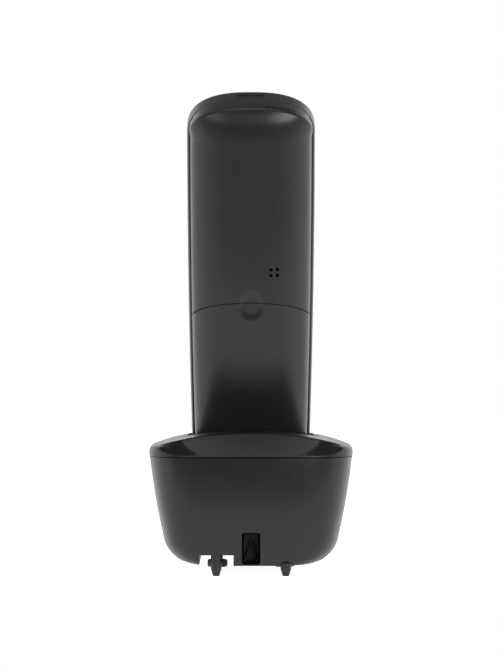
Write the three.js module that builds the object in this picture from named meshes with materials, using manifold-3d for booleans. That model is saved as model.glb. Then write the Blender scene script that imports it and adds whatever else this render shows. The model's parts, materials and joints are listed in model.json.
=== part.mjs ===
// Cordless telephone: a handset that stands in the cup of its base station.
// Millimetres, +Z up. X runs across the phone, -Y is the keypad side and +Y is the back.
// The origin lies on the floor, under the middle of the whole phone.
//
// The handset is drawn upright in its own axes and then leaned back as one group:
//   x across, y from the joint between its two cases towards its back, z along it from its foot.
// The base is drawn upright, in the phone's own axes.

import * as THREE from 'three';
import { mergeVertices } from 'three/addons/utils/BufferGeometryUtils.js';
import Module from 'manifold-3d';

const wasm = await Module();
wasm.setup();

// ---- driving dimensions -------------------------------------------------------------------

const GAP = 0.3;                 // clearance between two pieces that touch
const WALL = 2;                  // moulded wall thickness of the cases

// Handset
const LENGTH = 155.4;            // foot to top end
const LEAN = THREE.MathUtils.degToRad(25);
const HANDSET_Y = -26.41;        // where the handset's own origin stands in the phone
const HANDSET_Z = 39.75;
const HALF_WIDTH = 24.4;         // at the widest place
const WIDEST_AT = 108;           // height of the widest place above the foot
const WAIST = 1.25;              // how much narrower each side is at the foot
const TOP_CORNER = 14;           // height of the rounded top corners
const FOOT_CORNER = 9;           // height of the rounded foot corners
const FOOT_ROUND = 0.42;         // share of the width that is rounded off at the very foot
const LEAST_HALF_WIDTH = 3;      // the ends are closed by a flat of this half-width
const CORNER_POWER = 2.5;        // superellipse power of the top corners
const FRONT_DEPTH = 10.4;        // joint to keypad face
const BACK_DEPTH = 12.8;         // joint to back face
const BACK_POWER = 2.6;          // superellipse power of the back's cross-section
const BACK_INSET = 1.3;          // the rear case is this much narrower than the front case
const TOP_STEP = 0.2;            // and this much shorter at the top end
const TOP_ROUND = 2.2;           // how far the back is rounded off where it meets the top end
const EDGE = 2.6;                // rounding of the front case's face edge

// Battery cover and cells
const COVER_TOP = 76.8;
const COVER_CORNER = 13;
const COVER_THICK = 1.6;
const LATCH = { z: 75.9, width: 11.3, height: 12.5, depth: 0.8 };
const CELL = { radius: 5.25, length: 44.5, x: 5.5, y: 5.6, z: 21.5 };
const POCKET = { halfWidth: 11.4, bottom: 17, top: 70.5, floor: 0.1, wall: 1.4 };

const CELL_PLATE = { half: 4, below: 3.6, thick: 0.5 };   // the foot of each cell contact
const CASE_SCREW = { x: 16.5, z: 12, head: 2.4, shank: 1.1, slot: 1.4, slotHalf: 0.3 };
const CASE_POST = { radius: 2.4, bore: 1.4 };
const CASE_TUBE = { radius: 3.6, hole: 1.6, counterbore: 2.9 };
const TONGUE = { near: 8, far: 13, thick: 1.4, below: 4 };  // lips that join the cases at the top

// Keypad
const KEY_PROUD = 0.8;           // how far a key stands out of the face
const KEY_DEPTH = 2.6;
const DIGIT_KEY = { width: 12, height: 7.4, pitchX: 14, pitchZ: 10.5, bottomZ: 36 };
const CALL_KEY = { width: 11, height: 8, x: 15.2, z: 81.5 };
const SOFT_KEY = { width: 11, height: 6, x: 15.2, z: 95.5 };
const ROCKER = { width: 13, height: 17, z: 88.5 };
const DISPLAY = { width: 38, height: 33, z: 122 };

// Board, sound parts and the light in the top end
const BOARD = { half: 20.8, front: -5.6, back: -4.4, bottom: 8, top: 145 };
const LCD = { half: 18, tall: 32, front: -8.1, back: -5.9 };
const KEY_MAT = { half: 21, front: -7.5, back: -6.7, bottom: 30, top: 101 };
const SPEAKER_HOLE = { x: -8.8, z: 89.6, pitch: 2.45, radius: 0.65 };
const RINGER = { x: -7, z: 90.2, front: 4.8, back: 8.6, radius: 7.5 };
const EARPIECE = { z: 147, pitch: 2, slotWidth: 10, slotHeight: 1, narrower: 3, radius: 5.6, flat: 12 };
const MICROPHONE = { z: 22, hole: 0.6, radius: 3 };
const LIGHT_BAR = { width: 10.5, front: -7.6, back: -4.6, depth: 2.1, proud: 0.3 };

// Base station
const SEAM_Z = 45.2;             // joint between top cover and lower housing
const BASE_Y = -9.19;            // middle of the base, front to back
const BASE_HALF_X = 39.4;
const COVER_WIDER = 0.2;         // the top cover stands out this much over the lower housing
const BASE_HALF_Y = 40.25;
const BASE_POWER = 4.4;          // superellipse power of the base's plan
const DRAFT = THREE.MathUtils.degToRad(9.5);
const SIDE_BULGE = 0.45;         // the side walls stand out this much at mid-height
const BOTTOM_Z = 3.9;            // underside of the lower housing
const BOTTOM_RADIUS = 12;
const REAR_LEAN_IN = 6.5;        // how far the rear wall leans in, from the joint to the underside
const TOP_Z = 55;                // crown of the top cover
const CROWN_RADIUS = 125;
const SKIRT_Z = 47.4;            // the top cover's side is upright up to here
const FRONT_SLOPE = { y: -35.2, angle: THREE.MathUtils.degToRad(30) };
const REAR_SLOPE = { y: 22.6, angle: THREE.MathUtils.degToRad(43) };
const CUP_GAP = 0.8;             // clearance between the handset and its cup
const CUP_WALL = 1.8;
const CUP_FLOOR = -0.6;          // the seat under the front case, in the handset's axes
const CUP_WELL = -7.5;           // the deeper well under the battery cover
const LEG = { x: 13.3, frontY: -21.2, rearY: 23.7, radius: 2.1, tip: 1.3 };
const BOOT = { radius: 4, height: 3 };
const LEAD_SLOT = { width: 7.1, bottom: 4.4, top: 16.8, depth: 13 };
const LEAD_CHANNEL = { left: 6.7, right: 19.8, top: 8.2, front: -27.6 };
const SCREW_POST = { x: 25.5, y: 13.4, joint: 30 };
const PAGE_BUTTON = { width: 15, height: 6, proud: 0.8 };
const STATUS_LIGHT = { x: 15, radius: 1.6 };
const SLOPE_RUN = 7.2;           // from the front slope's upper edge back to its fittings
const CONTACT = { x: 12, y: -5.4, radius: 1.5 };
const CHARGE_PLATE = { halfX: 3, halfY: 2, thick: 0.5 };
const WELL_FRONT = -1.2;         // the deeper well begins here, in the handset's axes
const SLOT_SETBACK = 7;          // the lead slot's depth is measured from this far inside the wall
const HOOK = { x: 22, half: 3, thick: 1.6, below: 4, above: 3, fromEdge: 4.6 };
const BOARD_POST = { x: 24, ys: [-26, 4], radius: 2.2, top: 13.4 };
const FAR = 60;                  // past any face of the phone

// ---- materials ----------------------------------------------------------------------------

const finish = (color, roughness, metalness = 0) => () =>
  new THREE.MeshStandardMaterial({ color, roughness, metalness });
const CASE_PLASTIC = finish(0x2b2b2c, 0.45);
const BASE_PLASTIC = finish(0x2a2a2b, 0.5);
const KEY_PLASTIC = finish(0x3a3a3c, 0.5);
const GREEN_KEY = finish(0x2f6a3c, 0.5);
const RED_KEY = finish(0x8a2d2a, 0.5);
const CLEAR_WINDOW = finish(0x101214, 0.08);
const SMOKED_LENS = finish(0x3c2420, 0.2);
const LCD_GLASS = finish(0x9aa58e, 0.3);
const SOLDER_MASK = finish(0x1e5a34, 0.6);
const RUBBER = finish(0x141414, 0.85);
const SOFT_MAT = finish(0x555a60, 0.8);
const STEEL = finish(0xb8bcc0, 0.3, 1);
const NICKEL = finish(0xc9c5bb, 0.25, 1);
const GOLD = finish(0xc9a24a, 0.3, 1);
const CELL_WRAP = finish(0x3f6f8a, 0.35);
const JACK_PLASTIC = finish(0x151515, 0.55);

// ---- joining and cutting ------------------------------------------------------------------

function solid(geometry) {
  const bare = geometry.clone();
  bare.deleteAttribute('normal');
  bare.deleteAttribute('uv');
  const merged = mergeVertices(bare, 1e-4);
  return new wasm.Manifold(new wasm.Mesh({
    numProp: 3,
    vertProperties: new Float32Array(merged.attributes.position.array),
    triVerts: new Uint32Array(merged.index.array),
  }));
}

function geometryOf(manifold) {
  const mesh = manifold.getMesh();
  const geometry = new THREE.BufferGeometry();
  const positions = new Float32Array(mesh.vertProperties);
  geometry.setAttribute('position', new THREE.BufferAttribute(positions, 3));
  geometry.setIndex(new THREE.BufferAttribute(new Uint32Array(mesh.triVerts), 1));
  geometry.computeVertexNormals();
  return geometry;
}

// The solid moved along the axes, and the solid turned about X and then moved.
const moved = (whole, x, y, z) => solid(geometryOf(whole).translate(x, y, z));
const turned = (whole, angle, x, y, z) => solid(geometryOf(whole).rotateX(angle).translate(x, y, z));

const join = (...pieces) => pieces.reduce((whole, piece) => whole.add(piece));
const cut = (whole, ...tools) => tools.reduce((rest, tool) => rest.subtract(tool), whole);

// ---- plain shapes -------------------------------------------------------------------------

function box(width, depth, height, x, y, z) {
  const geometry = new THREE.BoxGeometry(width, depth, height);
  geometry.translate(x, y, z);
  return solid(geometry);
}

// A box given by its limits along each axis.
function block([x0, x1], [y0, y1], [z0, z1]) {
  return box(x1 - x0, y1 - y0, z1 - z0, (x0 + x1) / 2, (y0 + y1) / 2, (z0 + z1) / 2);
}

// An upright round bar from z0 to z1, with its own radius at each end.
function bar(x, y, z0, z1, radius, topRadius = radius, sides = 16) {
  const geometry = new THREE.CylinderGeometry(topRadius, radius, z1 - z0, sides);
  geometry.rotateX(Math.PI / 2);
  geometry.translate(x, y, (z0 + z1) / 2);
  return solid(geometry);
}

// A round bar along Y from y0 to y1.
function barAlongY(x, z, y0, y1, radius, sides = 16) {
  const geometry = new THREE.CylinderGeometry(radius, radius, y1 - y0, sides);
  geometry.translate(x, (y0 + y1) / 2, z);
  return solid(geometry);
}

// A profile of [radius, height] pairs turned about Y.
const lathed = (profile, sides) =>
  new THREE.LatheGeometry(profile.map(([radius, height]) => new THREE.Vector2(radius, height)), sides);

function roundedRectangle(width, height, radius) {
  const [x, y] = [width / 2, height / 2];
  const shape = new THREE.Shape();
  shape.moveTo(-x + radius, -y);
  shape.lineTo(x - radius, -y);
  shape.quadraticCurveTo(x, -y, x, -y + radius);
  shape.lineTo(x, y - radius);
  shape.quadraticCurveTo(x, y, x - radius, y);
  shape.lineTo(-x + radius, y);
  shape.quadraticCurveTo(-x, y, -x, y - radius);
  shape.lineTo(-x, -y + radius);
  shape.quadraticCurveTo(-x, -y, -x + radius, -y);
  return shape;
}

// A shape drawn in x and z, carried along Y from y0 to y1; a bevel rounds the face at y0.
function slabXZ(shape, y0, y1, bevel = 0, curveSegments = 3) {
  const geometry = new THREE.ExtrudeGeometry(shape, {
    depth: y1 - y0,
    curveSegments,
    bevelEnabled: bevel > 0,
    bevelThickness: bevel,
    bevelSize: bevel,
    bevelOffset: -bevel,
    bevelSegments: bevel > 1 ? 4 : 1,
  });
  geometry.rotateX(Math.PI / 2);
  geometry.translate(0, y1 + bevel, 0);
  const whole = solid(geometry);
  return bevel > 0 ? whole.intersect(block([-500, 500], [y0 - 1, y1], [-500, 500])) : whole;
}

// A closed column of rings: place(angle, t, r) gives the point at an angle round ring t,
// where t runs from 0 at the bottom to 1 at the top and r from 0 at its middle to 1 at its rim.
function column(sides, rings, place) {
  const geometry = new THREE.CylinderGeometry(1, 1, 1, sides, rings);
  const { position } = geometry.attributes;
  for (let i = 0; i < position.count; i += 1) {
    const r = Math.hypot(position.getX(i), position.getZ(i));
    const angle = Math.atan2(-position.getZ(i), position.getX(i));
    const [x, y, z] = place(angle, position.getY(i) + 0.5, r);
    position.setXYZ(i, x, y, z);
  }
  return solid(geometry);
}

const sorted = (a, b) => [Math.min(a, b), Math.max(a, b)];
const power = (value, exponent) => Math.sign(value) * Math.abs(value) ** exponent;

// ---- handset shape ------------------------------------------------------------------------

// Half the handset's width at height z: a long bow, closed by a superellipse at the top
// and by a quarter ellipse at the foot. The inset moves the ends inwards, and the sides too
// unless they have an inset of their own.
function halfWidthAt(z, inset, sideInset = inset) {
  const bow = HALF_WIDTH - WAIST * ((z - WIDEST_AT) / WIDEST_AT) ** 2 - sideInset;
  const intoTop = Math.max(0, z - (LENGTH - TOP_CORNER)) / (TOP_CORNER - inset);
  const intoFoot = Math.max(0, FOOT_CORNER - z) / (FOOT_CORNER - inset);
  const top = Math.max(0, 1 - intoTop ** CORNER_POWER) ** (1 / CORNER_POWER);
  const foot = 1 - FOOT_ROUND * (1 - Math.sqrt(Math.max(0, 1 - intoFoot ** 2)));
  return Math.max(bow * top * foot, LEAST_HALF_WIDTH);
}

// Heights of the rings: close together in the two ends, wide apart between them.
function stations(inset, side, endRings) {
  const heights = [];
  const quarter = (i) => (Math.PI / 2) * (i / endRings);
  for (let i = 0; i <= endRings; i += 1) {
    heights.push(inset + (FOOT_CORNER - inset) * (1 - Math.cos(quarter(i))));
  }
  for (let i = 1; i < side; i += 1) {
    heights.push(FOOT_CORNER + ((LENGTH - TOP_CORNER - FOOT_CORNER) * i) / side);
  }
  for (let i = 0; i <= endRings; i += 1) {
    heights.push(LENGTH - TOP_CORNER + (TOP_CORNER - inset) * Math.sin(quarter(i)));
  }
  return heights;
}

// The outline of the keypad face as a flat shape in x and z.
function faceOutline(inset) {
  const heights = stations(inset, 8, 6);
  const right = heights.map((z) => new THREE.Vector2(halfWidthAt(z, inset), z));
  const left = right.map(({ x, y }) => new THREE.Vector2(-x, y)).reverse();
  return new THREE.Shape([...right, ...left]);
}

// The back half as one solid: each cross-section is a superellipse, deeper than the joint
// on the far side so that a cut at the joint leaves a clean face.
function backBody(inset, sides = 32, endRings = 6) {
  const heights = stations(TOP_STEP + inset, 8, endRings);
  return column(sides, heights.length - 1, (angle, t, r) => {
    const z = heights[Math.round(t * (heights.length - 1))];
    const half = halfWidthAt(z, TOP_STEP + inset, BACK_INSET + inset);
    const intoTop = Math.max(0, z - (LENGTH - TOP_CORNER)) / TOP_CORNER;
    const depth = BACK_DEPTH - inset - TOP_ROUND * intoTop ** 8;
    const x = r * half * power(Math.cos(angle), 2 / BACK_POWER);
    const y = r * depth * power(Math.sin(angle), 2 / BACK_POWER);
    return [x, y, z];
  });
}

const behind = (y) => block([-FAR, FAR], [y, FAR], [-FAR, 220]);

// The region that belongs to the battery cover: everything below an arched line.
function coverRegion(margin) {
  const points = [new THREE.Vector2(-40, -30), new THREE.Vector2(40, -30)];
  const half = HALF_WIDTH - BACK_INSET;
  points.push(new THREE.Vector2(40, COVER_TOP - COVER_CORNER + margin));
  for (let i = 0; i <= 20; i += 1) {
    const angle = (Math.PI * i) / 20;
    const x = (half + margin) * power(Math.cos(angle), 2 / CORNER_POWER);
    const rise = (COVER_CORNER + margin) * power(Math.sin(angle), 2 / CORNER_POWER);
    const z = COVER_TOP - COVER_CORNER + rise;
    points.push(new THREE.Vector2(x, z));
  }
  points.push(new THREE.Vector2(-40, COVER_TOP - COVER_CORNER + margin));
  return slabXZ(new THREE.Shape(points), -5, 30);
}

function latchDimple() {
  const geometry = new THREE.SphereGeometry(1, 20, 10);
  geometry.rotateX(Math.PI / 2);
  const bulge = 4;
  const spread = Math.sqrt(1 - ((bulge - LATCH.depth) / bulge) ** 2);
  geometry.scale(LATCH.width / 2 / spread, bulge, LATCH.height / 2 / spread);
  geometry.translate(0, BACK_DEPTH + bulge - LATCH.depth, LATCH.z);
  return solid(geometry);
}

// ---- handset cases ------------------------------------------------------------------------

// A tool that cuts a rounded opening through the keypad face.
function faceOpening(width, height, x, z, radius, curveSegments = 2) {
  return moved(slabXZ(roundedRectangle(width, height, radius), -20, -5, 0, curveSegments), x, 0, z);
}

const keyOpening = (key, x) => faceOpening(key.width + 2 * GAP, key.height + 2 * GAP, x, key.z, 2);

function digitPlaces() {
  const names = ['star', '0', 'hash', '7', '8', '9', '4', '5', '6', '1', '2', '3'];
  return names.map((name, i) => ({
    name: `key_${name}`,
    ...DIGIT_KEY,
    x: ((i % 3) - 1) * DIGIT_KEY.pitchX,
    z: DIGIT_KEY.bottomZ + Math.floor(i / 3) * DIGIT_KEY.pitchZ,
    material: KEY_PLASTIC,
  }));
}

function keyPlaces() {
  return [
    ...digitPlaces(),
    { name: 'key_talk', ...CALL_KEY, x: -CALL_KEY.x, material: GREEN_KEY },
    { name: 'key_end', ...CALL_KEY, material: RED_KEY },
    { name: 'key_soft_left', ...SOFT_KEY, x: -SOFT_KEY.x, material: KEY_PLASTIC },
    { name: 'key_soft_right', ...SOFT_KEY, material: KEY_PLASTIC },
  ];
}

const faceInner = -FRONT_DEPTH + WALL;
const topInner = LENGTH - WALL;

// Space for the light bar in the top end, just behind the keypad face.
function lightBarSpace(margin) {
  return block(
    [-LIGHT_BAR.width / 2 - margin, LIGHT_BAR.width / 2 + margin],
    [LIGHT_BAR.front - margin, LIGHT_BAR.back + margin],
    [LENGTH - LIGHT_BAR.depth - 2 * margin, LENGTH + FAR],
  );
}

function earpieceSlots() {
  const { slotWidth, slotHeight, narrower, z, pitch } = EARPIECE;
  return join(...[-1, 0, 1].map((row) =>
    faceOpening(slotWidth - narrower * Math.abs(row), slotHeight, 0, z + pitch * row, 0.45)));
}

// The recess that holds a charge plate against the joint between the cases.
function chargePlateRecess(side) {
  const { x, y } = CONTACT;
  const { halfX, halfY } = CHARGE_PLATE;
  const [reachX, reachY] = [halfX + GAP, halfY + GAP];
  return block([side * x - reachX, side * x + reachX], [y - reachY, y + reachY], [-1, 0.8]);
}

// A screw post along Y and the bore in it, as a pair.
function casePost(side) {
  const [x, z] = [side * CASE_SCREW.x, CASE_SCREW.z];
  return [
    barAlongY(x, z, faceInner - 0.2, -1, CASE_POST.radius, 12),
    barAlongY(x, z, faceInner + 1.3, 4, CASE_POST.bore, 12),
  ];
}

function frontCase() {
  const outer = slabXZ(faceOutline(0), -FRONT_DEPTH, -GAP / 2, EDGE);
  const inner = slabXZ(faceOutline(WALL), faceInner, 5);
  const shell = cut(
    outer,
    inner,
    faceOpening(DISPLAY.width + 2 * GAP, DISPLAY.height + 2 * GAP, 0, DISPLAY.z, 3, 3),
    ...keyPlaces().map((key) => keyOpening(key, key.x)),
    keyOpening(ROCKER, 0),
    earpieceSlots(),
    barAlongY(0, MICROPHONE.z, -20, -5, MICROPHONE.hole, 8),
    lightBarSpace(GAP),
    ...[-1, 1].map(chargePlateRecess),
  );
  const posts = [-1, 1].map(casePost);
  return join(shell, ...posts.map(([full]) => full)).subtract(join(...posts.map(([, bore]) => bore)));
}

function rearCase() {
  const skin = backBody(0);
  const underCover = backBody(COVER_THICK + GAP, 24, 4);
  const recess = coverRegion(GAP).subtract(underCover);
  const liner = COVER_THICK + GAP + WALL * 0.7;
  const hollow = join(
    backBody(WALL, 24, 4).subtract(coverRegion(WALL)),
    backBody(liner, 24, 4).intersect(coverRegion(0)),
  );
  const pocketWall = POCKET.wall;
  const pocketBox = block(
    [-POCKET.halfWidth - pocketWall, POCKET.halfWidth + pocketWall],
    [POCKET.floor - pocketWall, BACK_DEPTH - COVER_THICK - 2],
    [POCKET.bottom - pocketWall, POCKET.top + pocketWall],
  );
  const pocket = block(
    [-POCKET.halfWidth, POCKET.halfWidth],
    [POCKET.floor, 30],
    [POCKET.bottom, POCKET.top],
  );
  const speakerHoles = [-1, 1].flatMap((across) => [-1, 1].map((along) => barAlongY(
    SPEAKER_HOLE.x + (across * SPEAKER_HOLE.pitch) / 2,
    SPEAKER_HOLE.z + (along * SPEAKER_HOLE.pitch) / 2,
    5, 30, SPEAKER_HOLE.radius, 10,
  )));
  const shell = skin.subtract(recess).subtract(hollow).intersect(behind(GAP / 2));
  const tubes = [-1, 1].map((side) => screwTube(side * CASE_SCREW.x, CASE_SCREW.z));
  const tongueFoot = topInner - TONGUE.below;
  const tongues = [-1, 1].flatMap((side) => {
    const across = sorted(side * TONGUE.near, side * TONGUE.far);
    return [
      block(across, [-3.5, 4], [tongueFoot, tongueFoot + TONGUE.thick]),
      block(across, [1, 4], [tongueFoot, topInner]).intersect(skin),
    ];
  });
  const body = join(shell, pocketBox, ...tongues, ...tubes.map(([full]) => full.intersect(skin)));
  return cut(body, pocket, recess, latchDimple(), ...speakerHoles, ...tubes.map(([, bore]) => bore));
}

// The tube of a screw through the rear case, with its counterbore.
function screwTube(x, z) {
  return [
    barAlongY(x, z, -0.6, 20, CASE_TUBE.radius, 14),
    join(barAlongY(x, z, -2, 20, CASE_TUBE.hole, 12), barAlongY(x, z, 2, 20, CASE_TUBE.counterbore, 14)),
  ];
}

function batteryCover() {
  const shell = backBody(0).subtract(backBody(COVER_THICK, 24, 4));
  const cover = shell.intersect(coverRegion(0)).intersect(behind(GAP / 2));
  return cover.subtract(latchDimple());
}

// ---- handset inner pieces -----------------------------------------------------------------

function displayWindow() {
  const shape = roundedRectangle(DISPLAY.width, DISPLAY.height, 2.8);
  return moved(slabXZ(shape, -FRONT_DEPTH, -FRONT_DEPTH + 1.4, 0.4), 0, 0, DISPLAY.z);
}

// A flat part standing behind the keypad face.
const sheet = ({ half, front, back, bottom, top }) => block([-half, half], [front, back], [bottom, top]);

const lcdModule = () => sheet({ ...LCD, bottom: DISPLAY.z - LCD.tall / 2, top: DISPLAY.z + LCD.tall / 2 });
const keyMat = () => sheet(KEY_MAT);

function handsetBoard() {
  const clearance = [-1, 1].map((side) => barAlongY(side * CASE_SCREW.x, CASE_SCREW.z, -9, 0, 2.8, 12));
  return cut(sheet(BOARD), ...clearance);
}

// The earpiece has a flat on its top edge, where the case curves in.
function earpiece() {
  const { z, radius, flat } = EARPIECE;
  return barAlongY(0, z, -8.2, -5.9, radius, 24).intersect(block([-9, 9], [-9, 0], [z - 7, z + flat / 2]));
}

const ringer = () => barAlongY(RINGER.x, RINGER.z, RINGER.front, RINGER.back, RINGER.radius, 24);
const microphone = () => barAlongY(0, MICROPHONE.z, -8.2, -6.2, MICROPHONE.radius, 16);

function keyCap(key) {
  const front = -FRONT_DEPTH - KEY_PROUD;
  const cap = slabXZ(roundedRectangle(key.width, key.height, 1.8), front, front + KEY_DEPTH, 0.4, 2);
  return moved(cap, key.x, 0, key.z);
}

// The two-way rocker: a cap with a shallow hollow across its middle.
function rocker() {
  const front = -FRONT_DEPTH - KEY_PROUD;
  const cap = slabXZ(roundedRectangle(ROCKER.width, ROCKER.height, 3), front, front + 2.2, 0.5, 3);
  const hollow = new THREE.CylinderGeometry(20, 20, ROCKER.width + 4, 64);
  hollow.rotateZ(Math.PI / 2);
  hollow.translate(0, front - 20 + 0.35, 0);
  return moved(cap.subtract(solid(hollow)), 0, 0, ROCKER.z);
}

// An AAA cell: can, shoulder and positive nub. Its positive end points up when up is 1.
function cell(x, up) {
  const { radius, length, y, z } = CELL;
  const geometry = lathed([
    [0, 0], [radius - 0.5, 0], [radius, 0.5], [radius, length - 1.6],
    [radius - 0.6, length - 0.9], [1.9, length - 0.9], [1.9, length], [0, length],
  ], 20);
  geometry.rotateX(Math.PI / 2);
  if (up < 0) geometry.rotateX(Math.PI).translate(0, 0, length);
  geometry.translate(x, y, z);
  return solid(geometry);
}

// A cell contact: a foot plate with a cone on it that reaches towards the cell.
function cellContact(x, up, wide, narrow) {
  const { half, below, thick } = CELL_PLATE;
  const base = up > 0 ? POCKET.bottom + GAP : POCKET.top - GAP;
  const tip = up > 0 ? CELL.z - GAP : CELL.z + CELL.length + GAP;
  const plate = block([x - half, x + half], [CELL.y - half, CELL.y + below], sorted(base, base + up * thick));
  const cone = up > 0
    ? bar(x, CELL.y, base + 0.3, tip, wide, narrow, 14)
    : bar(x, CELL.y, tip, base - 0.3, narrow, wide, 14);
  return plate.add(cone);
}

// The negative contact is a conical coil, drawn as its outer cone.
const springContact = (x, up) => cellContact(x, up, 3, 1.9);

// The positive contact is a plate with a pressed dome.
const plateContact = (x, up) => cellContact(x, up, 3.4, 2.2);

function chargePlate(side) {
  const { x, y } = CONTACT;
  const { halfX, halfY, thick } = CHARGE_PLATE;
  return block([side * x - halfX, side * x + halfX], [y - halfY, y + halfY], [0, thick]);
}

// The light bar in the top end, slightly proud of it.
function lightBar() {
  const { width, front, back, depth, proud } = LIGHT_BAR;
  return block([-width / 2, width / 2], [front, back], [LENGTH - depth, LENGTH + proud]);
}

// A pan-head screw along Y: its head faces the back and its recess is a plain cross.
function caseScrew(side) {
  const { z, head, shank, slot, slotHalf } = CASE_SCREW;
  const x = side * CASE_SCREW.x;
  const cross = join(
    block([x - slot, x + slot], [3.2, 5], [z - slotHalf, z + slotHalf]),
    block([x - slotHalf, x + slotHalf], [3.2, 5], [z - slot, z + slot]),
  );
  return join(barAlongY(x, z, 2.3, 4, head, 14), barAlongY(x, z, -6.5, 2.6, shank, 10)).subtract(cross);
}

// ---- base shape ---------------------------------------------------------------------------

// How far the wall has moved in from its place at the seam: a straight draft, then the
// round corner into the underside.
function wallStations(inset, radius, rows, corner) {
  const tangentZ = BOTTOM_Z + radius - radius * Math.sin(DRAFT);
  const centreIn = (SEAM_Z - tangentZ) * Math.tan(DRAFT) + radius * Math.cos(DRAFT);
  const list = [];
  for (let i = 0; i <= corner; i += 1) {
    const angle = Math.PI / 2 + (DRAFT - Math.PI / 2) * (i / corner);
    const r = radius - inset;
    list.push({ z: BOTTOM_Z + radius - r * Math.sin(angle), side: centreIn - r * Math.cos(angle) });
  }
  const first = list[corner];
  for (let i = 1; i <= rows; i += 1) {
    const t = i / rows;
    const straight = first.side + (inset / Math.cos(DRAFT) - first.side) * t;
    const side = straight - SIDE_BULGE * Math.sin(Math.PI * t);
    list.push({ z: first.z + (SEAM_Z - first.z) * t, side });
  }
  return list;
}

const rearIn = (z) => REAR_LEAN_IN * Math.max(0, (SEAM_Z - z) / (SEAM_Z - BOTTOM_Z)) ** 1.5;

// A point of the base's plan: a superellipse whose rear half has its own depth.
function planPoint(angle, halfX, frontHalf, rearHalf) {
  const x = halfX * power(Math.cos(angle), 2 / BASE_POWER);
  const s = power(Math.sin(angle), 2 / BASE_POWER);
  return [x, BASE_Y + s * (s > 0 ? rearHalf : frontHalf)];
}

function housingBody(inset, sides, top) {
  const list = wallStations(inset, BOTTOM_RADIUS, 4, 5);
  list.push({ z: top, side: inset });
  return column(sides, list.length - 1, (angle, t, r) => {
    const { z, side } = list[Math.round(t * (list.length - 1))];
    const rear = BASE_HALF_Y - inset - rearIn(z);
    const [x, y] = planPoint(angle, BASE_HALF_X - side, BASE_HALF_Y - side, rear);
    return [r * x, BASE_Y + r * (y - BASE_Y), z];
  });
}

// The top cover's outer form: an upright skirt that rounds over into the crown, the crown
// an arc across the base, and one flat slope each at the front and the back.
function crownBody(inset, sides) {
  const foot = SEAM_Z - (inset > 0 ? 10 : 0);
  const edge = [[0, foot], [0, SKIRT_Z], [0.6, SKIRT_Z + 1.3], [2.2, SKIRT_Z + 2.2], [2.2, TOP_Z + 3]];
  const skirt = column(sides, edge.length - 1, (angle, t, r) => {
    const [inwards, z] = edge[Math.round(t * (edge.length - 1))];
    const depth = BASE_HALF_Y - inwards - inset;
    const [x, y] = planPoint(angle, BASE_HALF_X + COVER_WIDER - inwards - inset, depth, depth);
    return [r * x, BASE_Y + r * (y - BASE_Y), z];
  });
  const crown = new THREE.CylinderGeometry(CROWN_RADIUS - inset, CROWN_RADIUS - inset, 200, 160);
  crown.translate(0, 0, TOP_Z - CROWN_RADIUS);
  return skirt.intersect(solid(crown)).intersect(slopes(inset));
}

// Everything below the front and rear slopes, as one slab carried across the base.
function slopes(inset) {
  const front = FRONT_SLOPE.y + inset * Math.tan(FRONT_SLOPE.angle / 2);
  const rear = REAR_SLOPE.y - inset * Math.tan(REAR_SLOPE.angle / 2);
  const top = TOP_Z - inset;
  const shape = new THREE.Shape([
    new THREE.Vector2(front - FAR, top - FAR * Math.tan(FRONT_SLOPE.angle)),
    new THREE.Vector2(front - FAR, -100),
    new THREE.Vector2(rear + FAR, -100),
    new THREE.Vector2(rear + FAR, top - FAR * Math.tan(REAR_SLOPE.angle)),
    new THREE.Vector2(rear, top),
    new THREE.Vector2(rear, top + 30),
    new THREE.Vector2(front, top + 30),
    new THREE.Vector2(front, top),
  ]);
  const geometry = new THREE.ExtrudeGeometry(shape, { depth: 200, bevelEnabled: false });
  geometry.translate(0, 0, -100);
  const turn = new THREE.Matrix4().makeBasis(
    new THREE.Vector3(0, 1, 0), new THREE.Vector3(0, 0, 1), new THREE.Vector3(1, 0, 0),
  );
  geometry.applyMatrix4(turn);
  return solid(geometry);
}

// The handset's own axes leaned and placed in the phone, for a base piece drawn in them.
const leaned = (whole) => turned(whole, -LEAN, 0, HANDSET_Y, HANDSET_Z);

// The handset's cross-section grown by a margin, carried along the handset from z0 to z1.
function handsetPrism(margin, z0, z1) {
  const half = HALF_WIDTH - 0.4 + margin;
  const [front, back] = [-FRONT_DEPTH - margin, BACK_DEPTH + margin];
  const shape = roundedRectangle(2 * half, back - front, 4 + margin);
  const geometry = new THREE.ExtrudeGeometry(shape, {
    depth: z1 - z0, bevelEnabled: false, curveSegments: 5,
  });
  geometry.translate(0, (front + back) / 2, z0);
  return solid(geometry);
}

// ---- base pieces --------------------------------------------------------------------------

function legTaper(x, y, from) {
  const upper = bar(x, y, 1.6, from, LEG.radius, LEG.radius, 14);
  return upper.add(bar(x, y, 0, 1.8, LEG.tip, LEG.radius - 0.3, 14));
}

// The lead slot's rear end, before the wall that closes it.
const slotEnd = BASE_Y + BASE_HALF_Y - SLOT_SETBACK - LEAD_SLOT.depth;

// The walls round the lead channel and the lead slot, and the spaces in them.
function leadPassages(outer) {
  const wall = 1.6;
  const { left, right, top, front } = LEAD_CHANNEL;
  const { width, bottom, top: slotTop } = LEAD_SLOT;
  const shape = roundedRectangle(width, slotTop - bottom, 0.8);
  return {
    walls: join(
      block([left - wall, right + wall], [front - wall, 31], [BOTTOM_Z + 0.5, top + wall]),
      block([-width / 2 - wall, width / 2 + wall], [slotEnd, 31], [BOTTOM_Z + 0.5, slotTop + wall]),
    ).intersect(outer),
    spaces: join(
      block([left, right], [front, FAR], [-5, top]),
      moved(slabXZ(shape, slotEnd + wall, FAR), 0, 0, (slotTop + bottom) / 2),
    ),
  };
}

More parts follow.
